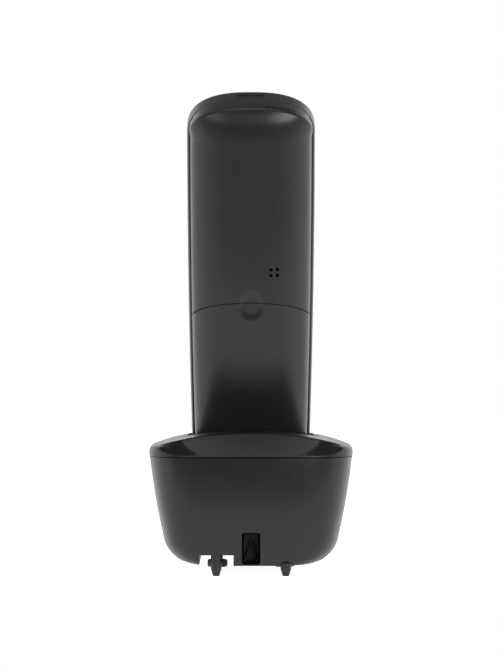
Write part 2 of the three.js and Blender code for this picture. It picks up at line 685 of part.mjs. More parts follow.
// A screw post of the lower housing with its two-step bore, as a pair.
function housingPost(side, outer) {
  const [x, { y, joint }] = [side * SCREW_POST.x, SCREW_POST];
  return [
    bar(x, y, BOTTOM_Z + 1, joint, 4.6).intersect(outer),
    join(bar(x, y, -5, joint - 4, 3.1), bar(x, y, -5, joint + 1, 1.7, 1.7, 12)),
  ];
}

function lowerHousing() {
  const outer = housingBody(0, 56, SEAM_Z - GAP / 2 - 0.05);
  const inner = housingBody(WALL, 40, SEAM_Z + 5);
  const passages = leadPassages(outer);
  const posts = [-1, 1].map((side) => housingPost(side, outer));
  const boardPosts = [-1, 1].flatMap((side) => BOARD_POST.ys.map((y) =>
    bar(side * BOARD_POST.x, y, 5, BOARD_POST.top, BOARD_POST.radius, BOARD_POST.radius, 10)));
  const body = join(cut(outer, inner), passages.walls, ...posts.map(([full]) => full), ...boardPosts);
  return join(
    cut(body, passages.spaces, ...posts.map(([, bore]) => bore)),
    legTaper(-LEG.x, LEG.rearY, BOTTOM_Z + 1),
    legTaper(LEG.x, LEG.rearY, LEAD_CHANNEL.top + 0.5),
    frontStub(-LEG.x, BOTTOM_Z + 1),
    frontStub(LEG.x, LEAD_CHANNEL.top + 0.5),
  );
}

// The stub that a rubber boot is pushed on to.
const frontStub = (x, from) => bar(x, LEG.frontY, 1.2, from, 2.2, 2.2, 14);

function rubberBoot(x) {
  const { radius, height } = BOOT;
  const geometry = lathed([
    [0, 0], [radius - 0.5, 0], [radius, 0.5], [radius, height - 0.4],
    [radius - 0.4, height], [2.5, height], [2.5, 0.9], [0, 0.9],
  ], 20);
  geometry.rotateX(Math.PI / 2).translate(x, LEG.frontY, 0);
  return solid(geometry);
}

// The black lead socket in the rear slot: a body with a tapering mouth between two ribs.
function leadSocket() {
  const half = LEAD_SLOT.width / 2 - GAP;
  const back = slotEnd + 1.6 + GAP;
  const mouth = back + 8.5;
  const { bottom, top } = LEAD_SLOT;
  const body = block([-half, half], [back, mouth], [bottom + GAP, top - GAP]);
  const throat = block([-half + 0.8, half - 0.8], [back + 2, mouth + 5], [bottom + 1.2, top - 1.2]);
  const ribs = [-1, 1].map((side) =>
    block([side * 1.6 - 0.35, side * 1.6 + 0.35], [back + 1, mouth - 0.6], [bottom + 1, top - 1]));
  return join(body.subtract(throat), ...ribs);
}

// The middle of the front slope's fittings.
const slopeMiddle = { y: FRONT_SLOPE.y - SLOPE_RUN, z: TOP_Z - SLOPE_RUN * Math.tan(FRONT_SLOPE.angle) };

// A piece drawn lying flat, with its top at z = 0, set into the front slope.
const onSlope = (whole, x = 0) => turned(whole, FRONT_SLOPE.angle, x, slopeMiddle.y, slopeMiddle.z);

function flatPad(width, height, radius, z0, z1) {
  const geometry = new THREE.ExtrudeGeometry(roundedRectangle(width, height, radius), {
    depth: z1 - z0, bevelEnabled: false, curveSegments: 4,
  });
  geometry.translate(0, 0, z0);
  return solid(geometry);
}

// The cup in the handset's own form: a seat for its foot, and the deeper well behind it.
function cup(margin, wall) {
  return leaned(join(
    handsetPrism(margin + wall, CUP_FLOOR - wall, 60),
    handsetPrism(margin + wall, CUP_WELL - wall, 60)
      .intersect(block([-40, 40], [WELL_FRONT - wall, 30], [-40, 80])),
  ));
}

function topCover() {
  const outer = crownBody(0, 56);
  const shell = outer.subtract(crownBody(WALL, 40));
  const below = join(outer, block([-FAR, FAR], [-70, FAR], [0, SEAM_Z + 1]));
  const { x, y, joint } = SCREW_POST;
  const bosses = [-1, 1].map((side) => bar(side * x, y, joint + GAP, 51, 3.6, 3.6, 14).intersect(below));
  const pilots = [-1, 1].map((side) => bar(side * x, y, 20, 44, 1.7, 1.7, 12));
  const hookY = BASE_Y - BASE_HALF_Y + HOOK.fromEdge;
  const hooks = [-1, 1].map((side) => block([side * HOOK.x - HOOK.half, side * HOOK.x + HOOK.half],
    [hookY, hookY + HOOK.thick], [SEAM_Z - HOOK.below, SEAM_Z + HOOK.above]));
  const pins = [-1, 1].map((side) => leaned(bar(side * CONTACT.x, CONTACT.y, -20, 5, CONTACT.radius + 0.4)));
  return cut(
    join(shell, cup(CUP_GAP, CUP_WALL).intersect(below), ...bosses, ...hooks),
    cup(CUP_GAP, 0),
    ...pilots,
    ...pins,
    onSlope(flatPad(PAGE_BUTTON.width + 2 * GAP, PAGE_BUTTON.height + 2 * GAP, 2.6, -6, 6)),
    onSlope(bar(0, 0, -6, 6, STATUS_LIGHT.radius + GAP), STATUS_LIGHT.x),
  );
}

const pageButton = () => onSlope(join(
  flatPad(PAGE_BUTTON.width, PAGE_BUTTON.height, 2.5, -2.6, PAGE_BUTTON.proud),
  flatPad(PAGE_BUTTON.width + 2.4, PAGE_BUTTON.height - 2, 1, -3.4, -2.4),
));
const statusLight = () => onSlope(bar(0, 0, -3.6, 0.2, STATUS_LIGHT.radius), STATUS_LIGHT.x);

const baseBoard = () => block([-28, 28], [-34, 8], [BOARD_POST.top + GAP, BOARD_POST.top + 1.9]);

// The small board under the cup that carries the two charging contacts.
const chargeBoard = () => leaned(block([-17, 17], [-10.5, 0.5], [-13.8, -12.6]));

// A sprung charging contact: a round-nosed pin with a collar under the cup's seat.
function chargePin(side) {
  const { radius } = CONTACT;
  const geometry = lathed([
    [0, -9], [1.1, -9], [1.1, -5.2], [1.9, -5.2], [1.9, -4.4],
    [radius, -4.4], [radius, -1], [1, -0.4], [0, -GAP],
  ], 14);
  geometry.rotateX(Math.PI / 2).translate(side * CONTACT.x, CONTACT.y, 0);
  return leaned(solid(geometry));
}

// A base screw, driven from below into the top cover's post.
function baseScrew(side) {
  const [x, y] = [side * SCREW_POST.x, SCREW_POST.y];
  const seat = SCREW_POST.joint - 4 - GAP;
  const [slot, slotHalf] = [1.6, 0.35];
  const cross = join(
    block([x - slot, x + slot], [y - slotHalf, y + slotHalf], [seat - 3, seat - 1.2]),
    block([x - slotHalf, x + slotHalf], [y - slot, y + slot], [seat - 3, seat - 1.2]),
  );
  return join(bar(x, y, seat - 2, seat, 2.7), bar(x, y, seat - 0.2, seat + 13, 1.3, 1.3, 12)).subtract(cross);
}

// ---- assembly -----------------------------------------------------------------------------

const phone = new THREE.Group();
const handset = new THREE.Group();
const base = new THREE.Group();
handset.rotation.x = -LEAN;
handset.position.set(0, HANDSET_Y, HANDSET_Z);
phone.add(handset, base);

function add(group, name, manifold, material) {
  const mesh = new THREE.Mesh(geometryOf(manifold), material());
  mesh.name = name;
  group.add(mesh);
}

add(handset, 'handset_front_case', frontCase(), CASE_PLASTIC);
add(handset, 'handset_rear_case', rearCase(), CASE_PLASTIC);
add(handset, 'battery_cover', batteryCover(), CASE_PLASTIC);
add(handset, 'display_window', displayWindow(), CLEAR_WINDOW);
add(handset, 'lcd_module', lcdModule(), LCD_GLASS);
add(handset, 'key_mat', keyMat(), SOFT_MAT);
add(handset, 'handset_board', handsetBoard(), SOLDER_MASK);
add(handset, 'earpiece_speaker', earpiece(), NICKEL);
add(handset, 'ringer_speaker', ringer(), NICKEL);
add(handset, 'microphone', microphone(), NICKEL);
for (const key of keyPlaces()) add(handset, key.name, keyCap(key), key.material);
add(handset, 'key_rocker', rocker(), KEY_PLASTIC);
add(handset, 'ringer_light_bar', lightBar(), SMOKED_LENS);
[[-1, 'left', 1], [1, 'right', -1]].forEach(([side, name, up]) => {
  add(handset, `battery_cell_${name}`, cell(side * CELL.x, up), CELL_WRAP);
  add(handset, `battery_spring_${name}`, springContact(side * CELL.x, up), NICKEL);
  add(handset, `battery_plate_${name}`, plateContact(side * CELL.x, -up), NICKEL);
  add(handset, `handset_charge_plate_${name}`, chargePlate(side), GOLD);
  add(handset, `handset_screw_${name}`, caseScrew(side), STEEL);
  add(base, `charge_pin_${name}`, chargePin(side), GOLD);
  add(base, `rubber_foot_${name}`, rubberBoot(side * LEG.x), RUBBER);
  add(base, `base_screw_${name}`, baseScrew(side), STEEL);
});
add(base, 'base_top_cover', topCover(), BASE_PLASTIC);
add(base, 'base_lower_housing', lowerHousing(), BASE_PLASTIC);
add(base, 'base_board', baseBoard(), SOLDER_MASK);
add(base, 'charge_board', chargeBoard(), SOLDER_MASK);
add(base, 'lead_socket', leadSocket(), JACK_PLASTIC);
add(base, 'page_button', pageButton(), KEY_PLASTIC);
add(base, 'status_light', statusLight(), SMOKED_LENS);

export default phone;
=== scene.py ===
"""Cordless phone with base: the visual model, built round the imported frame.

Laid out as an add-on: sizes and colours are properties, each group of like pieces is made by
one operator, and a sidebar panel lists them. Lengths in this file are millimetres unless a
name says otherwise, and meshes are written in metres.

The handset is worked out upright in its own axes (x across, n towards its back, u from its
foot to its top end) and then leaned by the frame's own axes.
"""

import json
import math

import bmesh
import bpy
import numpy as np
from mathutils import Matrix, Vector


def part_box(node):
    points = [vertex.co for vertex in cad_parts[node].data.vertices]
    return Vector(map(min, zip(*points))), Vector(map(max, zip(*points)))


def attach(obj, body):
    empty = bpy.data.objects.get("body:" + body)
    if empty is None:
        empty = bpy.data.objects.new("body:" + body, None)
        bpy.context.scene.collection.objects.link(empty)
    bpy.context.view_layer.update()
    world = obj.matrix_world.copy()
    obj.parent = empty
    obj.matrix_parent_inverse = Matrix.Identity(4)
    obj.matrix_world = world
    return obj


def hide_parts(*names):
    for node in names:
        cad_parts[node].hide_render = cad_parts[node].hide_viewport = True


bl_info = {
    "name": "Cordless Phone With Base",
    "version": (1, 0, 0),
    "blender": (4, 5, 0),
    "location": "3D View > Sidebar > Phone",
    "description": "Builds a cordless handset standing in its charging base",
    "category": "Object",
}

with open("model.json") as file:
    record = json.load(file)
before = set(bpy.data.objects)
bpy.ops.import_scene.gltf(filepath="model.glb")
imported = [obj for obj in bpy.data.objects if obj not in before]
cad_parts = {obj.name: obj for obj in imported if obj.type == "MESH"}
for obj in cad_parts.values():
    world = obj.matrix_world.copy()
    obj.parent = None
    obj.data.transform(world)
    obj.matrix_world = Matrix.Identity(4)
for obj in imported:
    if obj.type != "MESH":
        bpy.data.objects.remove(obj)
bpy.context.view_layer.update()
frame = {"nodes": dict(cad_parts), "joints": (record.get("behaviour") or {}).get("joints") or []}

MM = 0.001

# ---- sizes that the frame fixes -------------------------------------------------------------


def node_points(name):
    """The vertices of a CAD node as an array, in metres."""
    mesh = frame["nodes"][name].data
    flat = np.empty(len(mesh.vertices) * 3, np.float32)
    mesh.vertices.foreach_get("co", flat)
    return flat.reshape(-1, 3).astype(float)


def joint_axis(name):
    """A joint's direction as a unit vector."""
    axis = np.array(next(j["axis"] for j in frame["joints"] if j["name"] == name), float)
    return axis / np.linalg.norm(axis)


GAP = 0.3                      # clearance between two pieces that touch
UP = joint_axis("handset_lift")
ACROSS = np.array([1.0, 0.0, 0.0])
BACK = np.cross(UP, ACROSS)
_front = node_points("handset_front_case")
_rear = node_points("handset_rear_case")
FOOT_LEVEL = (_front @ UP).min()
JOINT_LEVEL = (_front @ BACK).max() + GAP / 2 * MM
ORIGIN = FOOT_LEVEL * UP + JOINT_LEVEL * BACK
LENGTH = (_front @ UP).max() / MM - FOOT_LEVEL / MM
FRONT_DEPTH = JOINT_LEVEL / MM - (_front @ BACK).min() / MM
BACK_DEPTH = (_rear @ BACK).max() / MM - JOINT_LEVEL / MM
HALF_WIDTH = _front[:, 0].max() / MM
_cover_low, _cover_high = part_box("base_top_cover")
_shell_low, _shell_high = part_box("base_lower_housing")
BASE_Y = (_cover_low.y + _cover_high.y) / 2 / MM
COVER_HALF_X = _cover_high.x / MM
COVER_HALF_Y = (_cover_high.y - _cover_low.y) / 2 / MM
HOUSING_HALF_X = _shell_high.x / MM
SEAM_GAP = 0.2                 # the lower housing stops this far under the joint
SEAM_Z = _shell_high.z / MM + SEAM_GAP
TOP_Z = _cover_high.z / MM

# ---- the shape's own sizes, as the frame was built to ---------------------------------------

WIDEST_AT = 108.0              # height of the handset's widest place
WAIST = 1.25                   # how much narrower each side is at the foot
TOP_CORNER = 14.0
FOOT_CORNER = 9.0
FOOT_FLAT = 0.58               # share of the width that is flat at the foot
CORNER_POWER = 2.5
BACK_POWER = 2.6
BACK_INSET = 1.3
TOP_STEP = 0.02
TOP_EASE = 4.0                 # how far the back bends forwards towards the top end
TOP_DROOP = 0.3                # how far the top end falls from the joint to the back
TOP_CREASE = 0.5               # rounding between the top end and the back
WALL = 2.0
COVER_TOP = 76.8
COVER_CORNER = 13.0
COVER_THICK = 1.6
LATCH_U = 75.9
HOLE_X, HOLE_U, HOLE_PITCH = -8.8, 89.6, 2.45
LIGHT_WIDTH, LIGHT_FRONT, LIGHT_BACK = 10.5, -7.6, -4.6
LIGHT_DEPTH, LIGHT_PROUD = 2.1, 0.3
FIT_GAP = 0.02                 # how far the fitted cases stand from each other at their joint
BASE_POWER = 4.4
DRAFT = math.radians(9.5)
SIDE_BULGE = 0.45
BOTTOM_Z = 3.9
BOTTOM_RADIUS = 12.0
REAR_LEAN_IN = 6.5
CROWN_RADIUS = 125.0
SKIRT_Z = 47.4
SKIRT_ROUND = 2.2
REAR_SKIRT_Z, REAR_SKIRT_ROUND = SEAM_Z + 0.5, 0.5
REAR_CORNER = (0.8, 0.97)      # where the rear begins, as shares of the outline's depth
FRONT_SLOPE_Y, FRONT_SLOPE = -35.2, math.radians(30)
REAR_SLOPE_Y, REAR_SLOPE = 22.6, math.radians(48)
CUP_GAP = 0.8
CUP_WALL = 1.8
CUP_FLOOR = -0.6
CUP_WELL = -7.5
WELL_FRONT = -1.2              # where the well under the battery cover begins, along n
LEG_X, REAR_LEG_Y, FRONT_LEG_Y = 13.3, 23.7, -21.2
SLOT_WIDTH, SLOT_BOTTOM, SLOT_TOP = 7.1, 4.4, 16.8
CHANNEL_LEFT, CHANNEL_RIGHT, CHANNEL_TOP, CHANNEL_FRONT = 6.7, 19.8, 8.2, -27.6
SCREW_X, SCREW_Y, SCREW_SEAT = 25.5, 13.4, 26.0
CONTACT_X, CONTACT_N = 12.0, -5.4
SOCKET_SET_BACK = 1.5
SLOPE_RUN = 7.2                # from the slope's upper edge to the paging button, front to back
LIGHT_X = 15.0                 # the status light's place on the slope
SCREW_JOINT = 30.0             # where the lower housing's screw posts end
SLOT_END = BASE_Y + COVER_HALF_Y - 7.0 - 13.0
GROOVE_START, GROOVE_PITCH, GROOVES, GROOVE_DEPTH = -5.6, 1.2, 10, 0.4
GROOVE_BACK = BACK_DEPTH - TOP_EASE - 1.0
LATCH_WIDTH, LATCH_HEIGHT, LATCH_DEPTH = 11.3, 13.2, 0.5
FACE_EDGE = 2.6                # rounding of the front case's face edge
RIM_IN, RIM_RUN = 1.0, 3.0     # the front case's side edge at the joint: how far in, and over what depth
DISPLAY_U = 122.0
ROCKER_U = 88.5
MARK_LEVEL = 0.93              # height of a key's legend over the keypad face
CELL_BAND = 0.135              # height along the handset where a cell's gold band begins, in metres
OVERHEAD_POWER, RIGHT_POWER, LEFT_POWER = 2.6, 3.4, 1.1
BRIGHT_SIDE, DIM_SIDE, DIM_LEVEL = 0.12, 0.95, 0.09
LOW_BAND, HIGH_BAND, HIGH_LEVEL = 0.3, 0.65, 0.16
FLOOR_BACK_EDGE = 0.11         # how far the floor reaches behind the phone, in metres
AIM_AT = np.array([0.0, 0.0, 0.09])

INNER_FINISHES = {
    "lcd_module": "liquid crystal glass",
    "key_mat": "silicone key mat",
    "handset_board": "solder mask",
    "base_board": "solder mask",
    "charge_board": "solder mask",
    "earpiece_speaker": "nickel-plated spring steel",
    "ringer_speaker": "nickel-plated spring steel",
    "microphone": "nickel-plated spring steel",
    **{f"battery_cell_{side}": "printed shrink film" for side in ("left", "right")},
    **{f"battery_plate_{side}": "nickel-plated spring steel" for side in ("left", "right")},
    **{f"handset_charge_plate_{side}": "gold-plated contact" for side in ("left", "right")},
    **{f"charge_pin_{side}": "gold-plated contact" for side in ("left", "right")},
    **{f"handset_screw_{side}": "zinc-plated steel" for side in ("left", "right")},
    **{f"base_screw_{side}": "zinc-plated steel" for side in ("left", "right")},
}

DIGITS = ["star", "0", "hash", "7", "8", "9", "4", "5", "6", "1", "2", "3"]


def digit_keys():
    """Name, legend, centre x and u of the twelve digit keys."""
    marks = {"star": "*", "hash": "#"}
    return [(f"key_{name}", marks.get(name, name), (i % 3 - 1) * 14.0, 36.0 + i // 3 * 10.5)
            for i, name in enumerate(DIGITS)]


# ---- placing --------------------------------------------------------------------------------


def stacked(*values):
    """Arrays or numbers of x, y and z joined into points."""
    return np.stack(np.broadcast_arrays(*values), axis=-1).astype(float)


def leaned(x, n, u):
    """Points of the handset's axes in the frame, in metres."""
    return ORIGIN + stacked(x, n, u) * MM @ np.array([ACROSS, BACK, UP])


def straight(x, y, z):
    """Points of the frame's own axes, from millimetres to metres."""
    return stacked(x, y, z) * MM


def on_keypad(x0, u0):
    """A placing for pads on the keypad face: a across, b up the face, d out of it."""
    return lambda a, b, d: leaned(a + x0, -FRONT_DEPTH - d, b + u0)


def on_front_slope(x0):
    """A placing for pads on the base's front slope."""
    y0 = FRONT_SLOPE_Y - SLOPE_RUN
    z0 = TOP_Z - SLOPE_RUN * math.tan(FRONT_SLOPE)
    s, c = math.sin(FRONT_SLOPE), math.cos(FRONT_SLOPE)
    return lambda a, b, d: straight(a + x0, y0 + b * c - d * s, z0 + b * s + d * c)


def upright(x0, y0):
    """A placing for pads that lie level: d is the height."""
    return lambda a, b, d: straight(a + x0, b + y0, d)


def facing_back(x0, z0):
    """A placing for pads in the rear wall: d is y."""
    return lambda a, b, d: straight(a + x0, d, b + z0)


# ---- curves and grids -----------------------------------------------------------------------


def signed_power(value, exponent):
    return np.sign(value) * np.abs(value) ** exponent


def fillet(start, turn, count, radius):
    """Offsets along a quarter turn, as pairs: in from 0 to radius and along from radius to 0."""
    angle = np.linspace(start, start + turn, count)
    return radius * (1 - np.cos(angle)), radius * (1 - np.sin(angle))


def rounded_loop(width, height, radius, steps=8):
    """A rounded rectangle as a closed loop: four corner arcs, joined by straight sides."""
    radius = min(radius, width / 2 - 1e-3, height / 2 - 1e-3)
    turn = np.linspace(0, math.pi / 2, steps)
    arc = np.stack([np.cos(turn), np.sin(turn)], axis=1) * radius
    centres = [(1, 1), (-1, 1), (-1, -1), (1, -1)]
    rows = []
    for quarter, (sx, sy) in enumerate(centres):
        spin = math.pi / 2 * quarter
        turned = arc @ np.array([[math.cos(spin), math.sin(spin)], [-math.sin(spin), math.cos(spin)]])
        rows.append(turned + [sx * (width / 2 - radius), sy * (height / 2 - radius)])
    return np.concatenate(rows)


def pad(width, height, radius, levels, place, steps=8):
    """A closed pad: one rounded loop for each (grow, level) pair, closed to a point at both ends."""
    loops = [rounded_loop(width + 2 * grow, height + 2 * grow, max(radius + grow, 0.1), steps) for grow, _ in levels]
    rings = [place(loop[:, 0], loop[:, 1], np.full(len(loop), level)) for loop, (_, level) in zip(loops, levels)]
    ends = [place(np.zeros(len(loops[0])), np.zeros(len(loops[0])), np.full(len(loops[0]), level))
            for level in (levels[0][1], levels[-1][1])]
    return np.stack([ends[0], *rings, ends[1]])


def turned_solid(profile, place, sides=40):
    """A round solid: each (radius, height) of the profile carried once round the axis."""
    around = np.linspace(0, 2 * math.pi, sides, endpoint=False)
    radius, height = np.array(profile, float).T
    return place(np.outer(radius, np.cos(around)), np.outer(radius, np.sin(around)),
                 np.repeat(height[:, None], sides, axis=1))


def mesh_of(name, grid):
    """A mesh from a grid of points whose rows are closed rings; doubled points are merged."""
    rows, columns, _ = grid.shape
    low = np.arange((rows - 1) * columns).reshape(rows - 1, columns)
    right = np.roll(low, -1, axis=1)
    faces = np.stack([low, right, right + columns, low + columns], axis=-1).reshape(-1, 4)
    mesh = bpy.data.meshes.new(name)
    mesh.from_pydata(grid.reshape(-1, 3).tolist(), [], faces.tolist())
    work = bmesh.new()
    work.from_mesh(mesh)
    bmesh.ops.remove_doubles(work, verts=work.verts, dist=2e-6)
    bmesh.ops.dissolve_degenerate(work, edges=work.edges, dist=1e-6)
    bmesh.ops.recalc_face_normals(work, faces=work.faces)
    work.to_mesh(mesh)
    work.free()
    return mesh


def object_of(name, *grids):
    """One object holding a closed mesh for each grid."""
    piece = bpy.data.objects.new(name, mesh_of(name, grids[0]))
    bpy.context.scene.collection.objects.link(piece)
    for grid in grids[1:]:
        work = bmesh.new()
        work.from_mesh(piece.data)
        work.from_mesh(mesh_of(name, grid))
        work.to_mesh(piece.data)
        work.free()
    return piece


def applied(piece):
    """The piece with its modifiers made real."""
    shown = piece.evaluated_get(bpy.context.evaluated_depsgraph_get())
    mesh = bpy.data.meshes.new_from_object(shown)
    piece.modifiers.clear()
    piece.data = mesh
    return piece


def joined_by(piece, tools, operation="DIFFERENCE"):
    """The piece cut by, or joined to, each tool; the tools are used up."""
    for tool in tools:
        step = piece.modifiers.new("step", "BOOLEAN")
        step.operation = operation
        step.solver = "EXACT"
        step.object = tool
        bpy.context.view_layer.update()
        applied(piece)
        bpy.data.objects.remove(tool)
    return piece


def dressed(piece, material, body, stands_for=(), sharp=32):
    """Shading, material, body and the nodes that the piece stands for."""
    piece.data.materials.clear()
    piece.data.materials.append(material)
    piece.data.polygons.foreach_set("use_smooth", np.ones(len(piece.data.polygons), bool))
    piece.data.set_sharp_from_angle(angle=math.radians(sharp))
    even = piece.modifiers.new("even shading", "WEIGHTED_NORMAL")
    even.keep_sharp = True
    bpy.context.view_layer.update()
    applied(piece)
    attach(piece, body)
    if stands_for:
        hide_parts(*stands_for)
    return piece


# ---- materials ------------------------------------------------------------------------------


def linear(colour):
    """An sRGB hex string such as '#202020' as a linear colour with alpha."""
    channels = np.array([int(colour[i:i + 2], 16) for i in (1, 3, 5)]) / 255
    curve = np.where(channels <= 0.04045, channels / 12.92, ((channels + 0.055) / 1.055) ** 2.4)
    return (*curve.tolist(), 1.0)


def add_node(tree, kind, values=None, **settings):
    """Adds one node: settings are its own, values set its inputs or link them to an output."""
    made = tree.nodes.new(kind)
    for name, value in settings.items():
        setattr(made, name, value)
    for name, value in (values or {}).items():
        if isinstance(value, bpy.types.NodeSocket):
            tree.links.new(value, made.inputs[name])
        else:
            made.inputs[name].default_value = value
    return made


def new_material(name, **sockets):
    """A material with one principled shader, whose plain sockets are set here."""
    material = bpy.data.materials.new(name)
    material.use_nodes = True
    tree = material.node_tree
    shader = tree.nodes["Principled BSDF"]
    for socket, value in sockets.items():
        shader.inputs[socket.replace("_", " ")].default_value = value
    return material, tree, shader


def object_noise(tree, grain_mm, detail=2.0, roughness=0.5):
    """Noise on the piece itself, one speck to each grain."""
    place = add_node(tree, "ShaderNodeTexCoord").outputs["Object"]
    return add_node(tree, "ShaderNodeTexNoise", {
        "Vector": place, "Scale": 1 / (grain_mm * MM), "Detail": detail, "Roughness": roughness,
    })


def grained(tree, shader, grain_mm, height_mm, strength=1.0):
    """A fine moulded grain: bump from noise of that grain and height."""
    noise = object_noise(tree, grain_mm)
    bump = add_node(tree, "ShaderNodeBump", {
        "Height": noise.outputs["Fac"], "Strength": strength, "Distance": height_mm * MM,
    })
    tree.links.new(bump.outputs["Normal"], shader.inputs["Normal"])
    return noise


def varied(tree, source, low, high):
    """A noise turned into a number between low and high."""
    return add_node(tree, "ShaderNodeMapRange", {
        "Value": source, "From Min": 0.3, "From Max": 0.7, "To Min": low, "To Max": high,
    }).outputs["Result"]


def moulded_abs(name, colour, roughness, grain_mm=0.5, height_mm=0.004):
    """Moulded ABS from a lightly spark-eroded tool: a satin skin whose grain breaks up
    reflections, with slow patches a little glossier where the tool is worn."""
    material, tree, shader = new_material(name, Roughness=roughness, IOR=1.44)
    grained(tree, shader, grain_mm, height_mm, 0.6)
    patches = object_noise(tree, 22.0, 3.0)
    tree.links.new(varied(tree, patches.outputs["Fac"], roughness - 0.035, roughness + 0.035),
                   shader.inputs["Roughness"])
    tint = add_node(tree, "ShaderNodeMix", {
        "Factor": varied(tree, patches.outputs["Fac"], 0.0, 1.0),
    }, data_type="RGBA")
    tint.inputs["A"].default_value = colour
    tint.inputs["B"].default_value = tuple(c * 1.18 for c in colour[:3]) + (1.0,)
    tree.links.new(tint.outputs["Result"], shader.inputs["Base Color"])
    return material


def polished_acrylic(name, colour, transmission=0.0, roughness=0.04):
    """Injection-moulded acrylic, polished: a hard clear skin with sharp reflections and the
    faintest flow ripple."""
    material, tree, shader = new_material(name, Roughness=roughness, IOR=1.49)
    shader.inputs["Base Color"].default_value = colour
    shader.inputs["Transmission Weight"].default_value = transmission
    ripple = object_noise(tree, 9.0, 1.0)
    bump = add_node(tree, "ShaderNodeBump", {
        "Height": ripple.outputs["Fac"], "Strength": 0.15, "Distance": 0.01 * MM,
    })
    tree.links.new(bump.outputs["Normal"], shader.inputs["Normal"])
    return material


def silicone_rubber(name, colour, roughness=0.7):
    """Moulded rubber: dull, slightly powdery, with a soft sheen at the edges."""
    material, tree, shader = new_material(name, Roughness=roughness, IOR=1.45)
    shader.inputs["Sheen Weight"].default_value = 0.15
    shader.inputs["Sheen Roughness"].default_value = 0.5
    noise = grained(tree, shader, 0.5, 0.02, 0.5)
    mix = add_node(tree, "ShaderNodeMix", {"Factor": varied(tree, noise.outputs["Fac"], 0.0, 1.0)},
                   data_type="RGBA")
    mix.inputs["A"].default_value = colour
    mix.inputs["B"].default_value = tuple(min(1, c * 1.5 + 0.002) for c in colour[:3]) + (1.0,)
    tree.links.new(mix.outputs["Result"], shader.inputs["Base Color"])
    return material


def plated_metal(name, colour, roughness=0.22):
    """Plated spring metal: a bright skin with fine rolling marks along the strip."""
    material, tree, shader = new_material(name, Roughness=roughness, Metallic=1.0)
    shader.inputs["Base Color"].default_value = colour
    place = add_node(tree, "ShaderNodeTexCoord").outputs["Object"]
    stretched = add_node(tree, "ShaderNodeMapping", {"Vector": place, "Scale": (1.0, 0.06, 0.06)})
    marks = add_node(tree, "ShaderNodeTexNoise", {
        "Vector": stretched.outputs["Vector"], "Scale": 1 / (0.12 * MM), "Detail": 2.0,
    })
    tree.links.new(varied(tree, marks.outputs["Fac"], roughness * 0.7, roughness * 1.5),
                   shader.inputs["Roughness"])
    return material


def solder_mask(name, colour):
    """Green solder mask over copper: glossy resin with the paler tracks showing through."""
    material, tree, shader = new_material(name, Roughness=0.3, IOR=1.55)
    place = add_node(tree, "ShaderNodeTexCoord").outputs["Object"]
    tracks = add_node(tree, "ShaderNodeTexBrick", {
        "Vector": place, "Scale": 1 / (12 * MM), "Mortar Size": 0.03, "Brick Width": 0.5, "Row Height": 0.22,
    })
    tracks.inputs["Color1"].default_value = colour
    tracks.inputs["Color2"].default_value = tuple(c * 0.85 for c in colour[:3]) + (1.0,)
    tracks.inputs["Mortar"].default_value = tuple(min(1, c * 1.9 + 0.01) for c in colour[:3]) + (1.0,)
    tree.links.new(tracks.outputs["Color"], shader.inputs["Base Color"])
    return material


def shrink_film(name, body_colour, end_colour, middle):
    """Printed shrink film on a cell: glossy colour with a metallic band at the positive end."""
    material, tree, shader = new_material(name, Roughness=0.25, IOR=1.5)
    place = add_node(tree, "ShaderNodeTexCoord").outputs["Object"]
    height = add_node(tree, "ShaderNodeVectorMath", {1: tuple(UP)}, operation="DOT_PRODUCT")
    tree.links.new(place, height.inputs[0])
    past = add_node(tree, "ShaderNodeMath", {0: height.outputs["Value"], 1: middle}, operation="GREATER_THAN")
    mix = add_node(tree, "ShaderNodeMix", {"Factor": past.outputs["Value"]}, data_type="RGBA")
    mix.inputs["A"].default_value = body_colour
    mix.inputs["B"].default_value = end_colour
    tree.links.new(mix.outputs["Result"], shader.inputs["Base Color"])
    return material


def printed_ink(name, colour):
    """Pad-printed ink: a thin flat film, a little uneven where it was pressed on."""
    material, tree, shader = new_material(name, Roughness=0.55)
    noise = object_noise(tree, 0.8)
    mix = add_node(tree, "ShaderNodeMix", {"Factor": varied(tree, noise.outputs["Fac"], 0.0, 1.0)},
                   data_type="RGBA")
    mix.inputs["A"].default_value = colour
    mix.inputs["B"].default_value = tuple(c * 0.9 for c in colour[:3]) + (1.0,)
    tree.links.new(mix.outputs["Result"], shader.inputs["Base Color"])
    return material


def crystal_glass(name, colour):
    """A reflective liquid crystal panel: grey-green glass with a fine grid of cells."""
    material, tree, shader = new_material(name, Roughness=0.25, IOR=1.52)
    place = add_node(tree, "ShaderNodeTexCoord").outputs["Object"]
    cells = add_node(tree, "ShaderNodeTexBrick", {
        "Vector": place, "Scale": 1 / (0.6 * MM), "Mortar Size": 0.06, "Brick Width": 1.0, "Row Height": 1.0,
    }, offset=0.0)
    cells.inputs["Color1"].default_value = colour
    cells.inputs["Color2"].default_value = colour
    cells.inputs["Mortar"].default_value = tuple(c * 0.85 for c in colour[:3]) + (1.0,)
    tree.links.new(cells.outputs["Color"], shader.inputs["Base Color"])
    return material


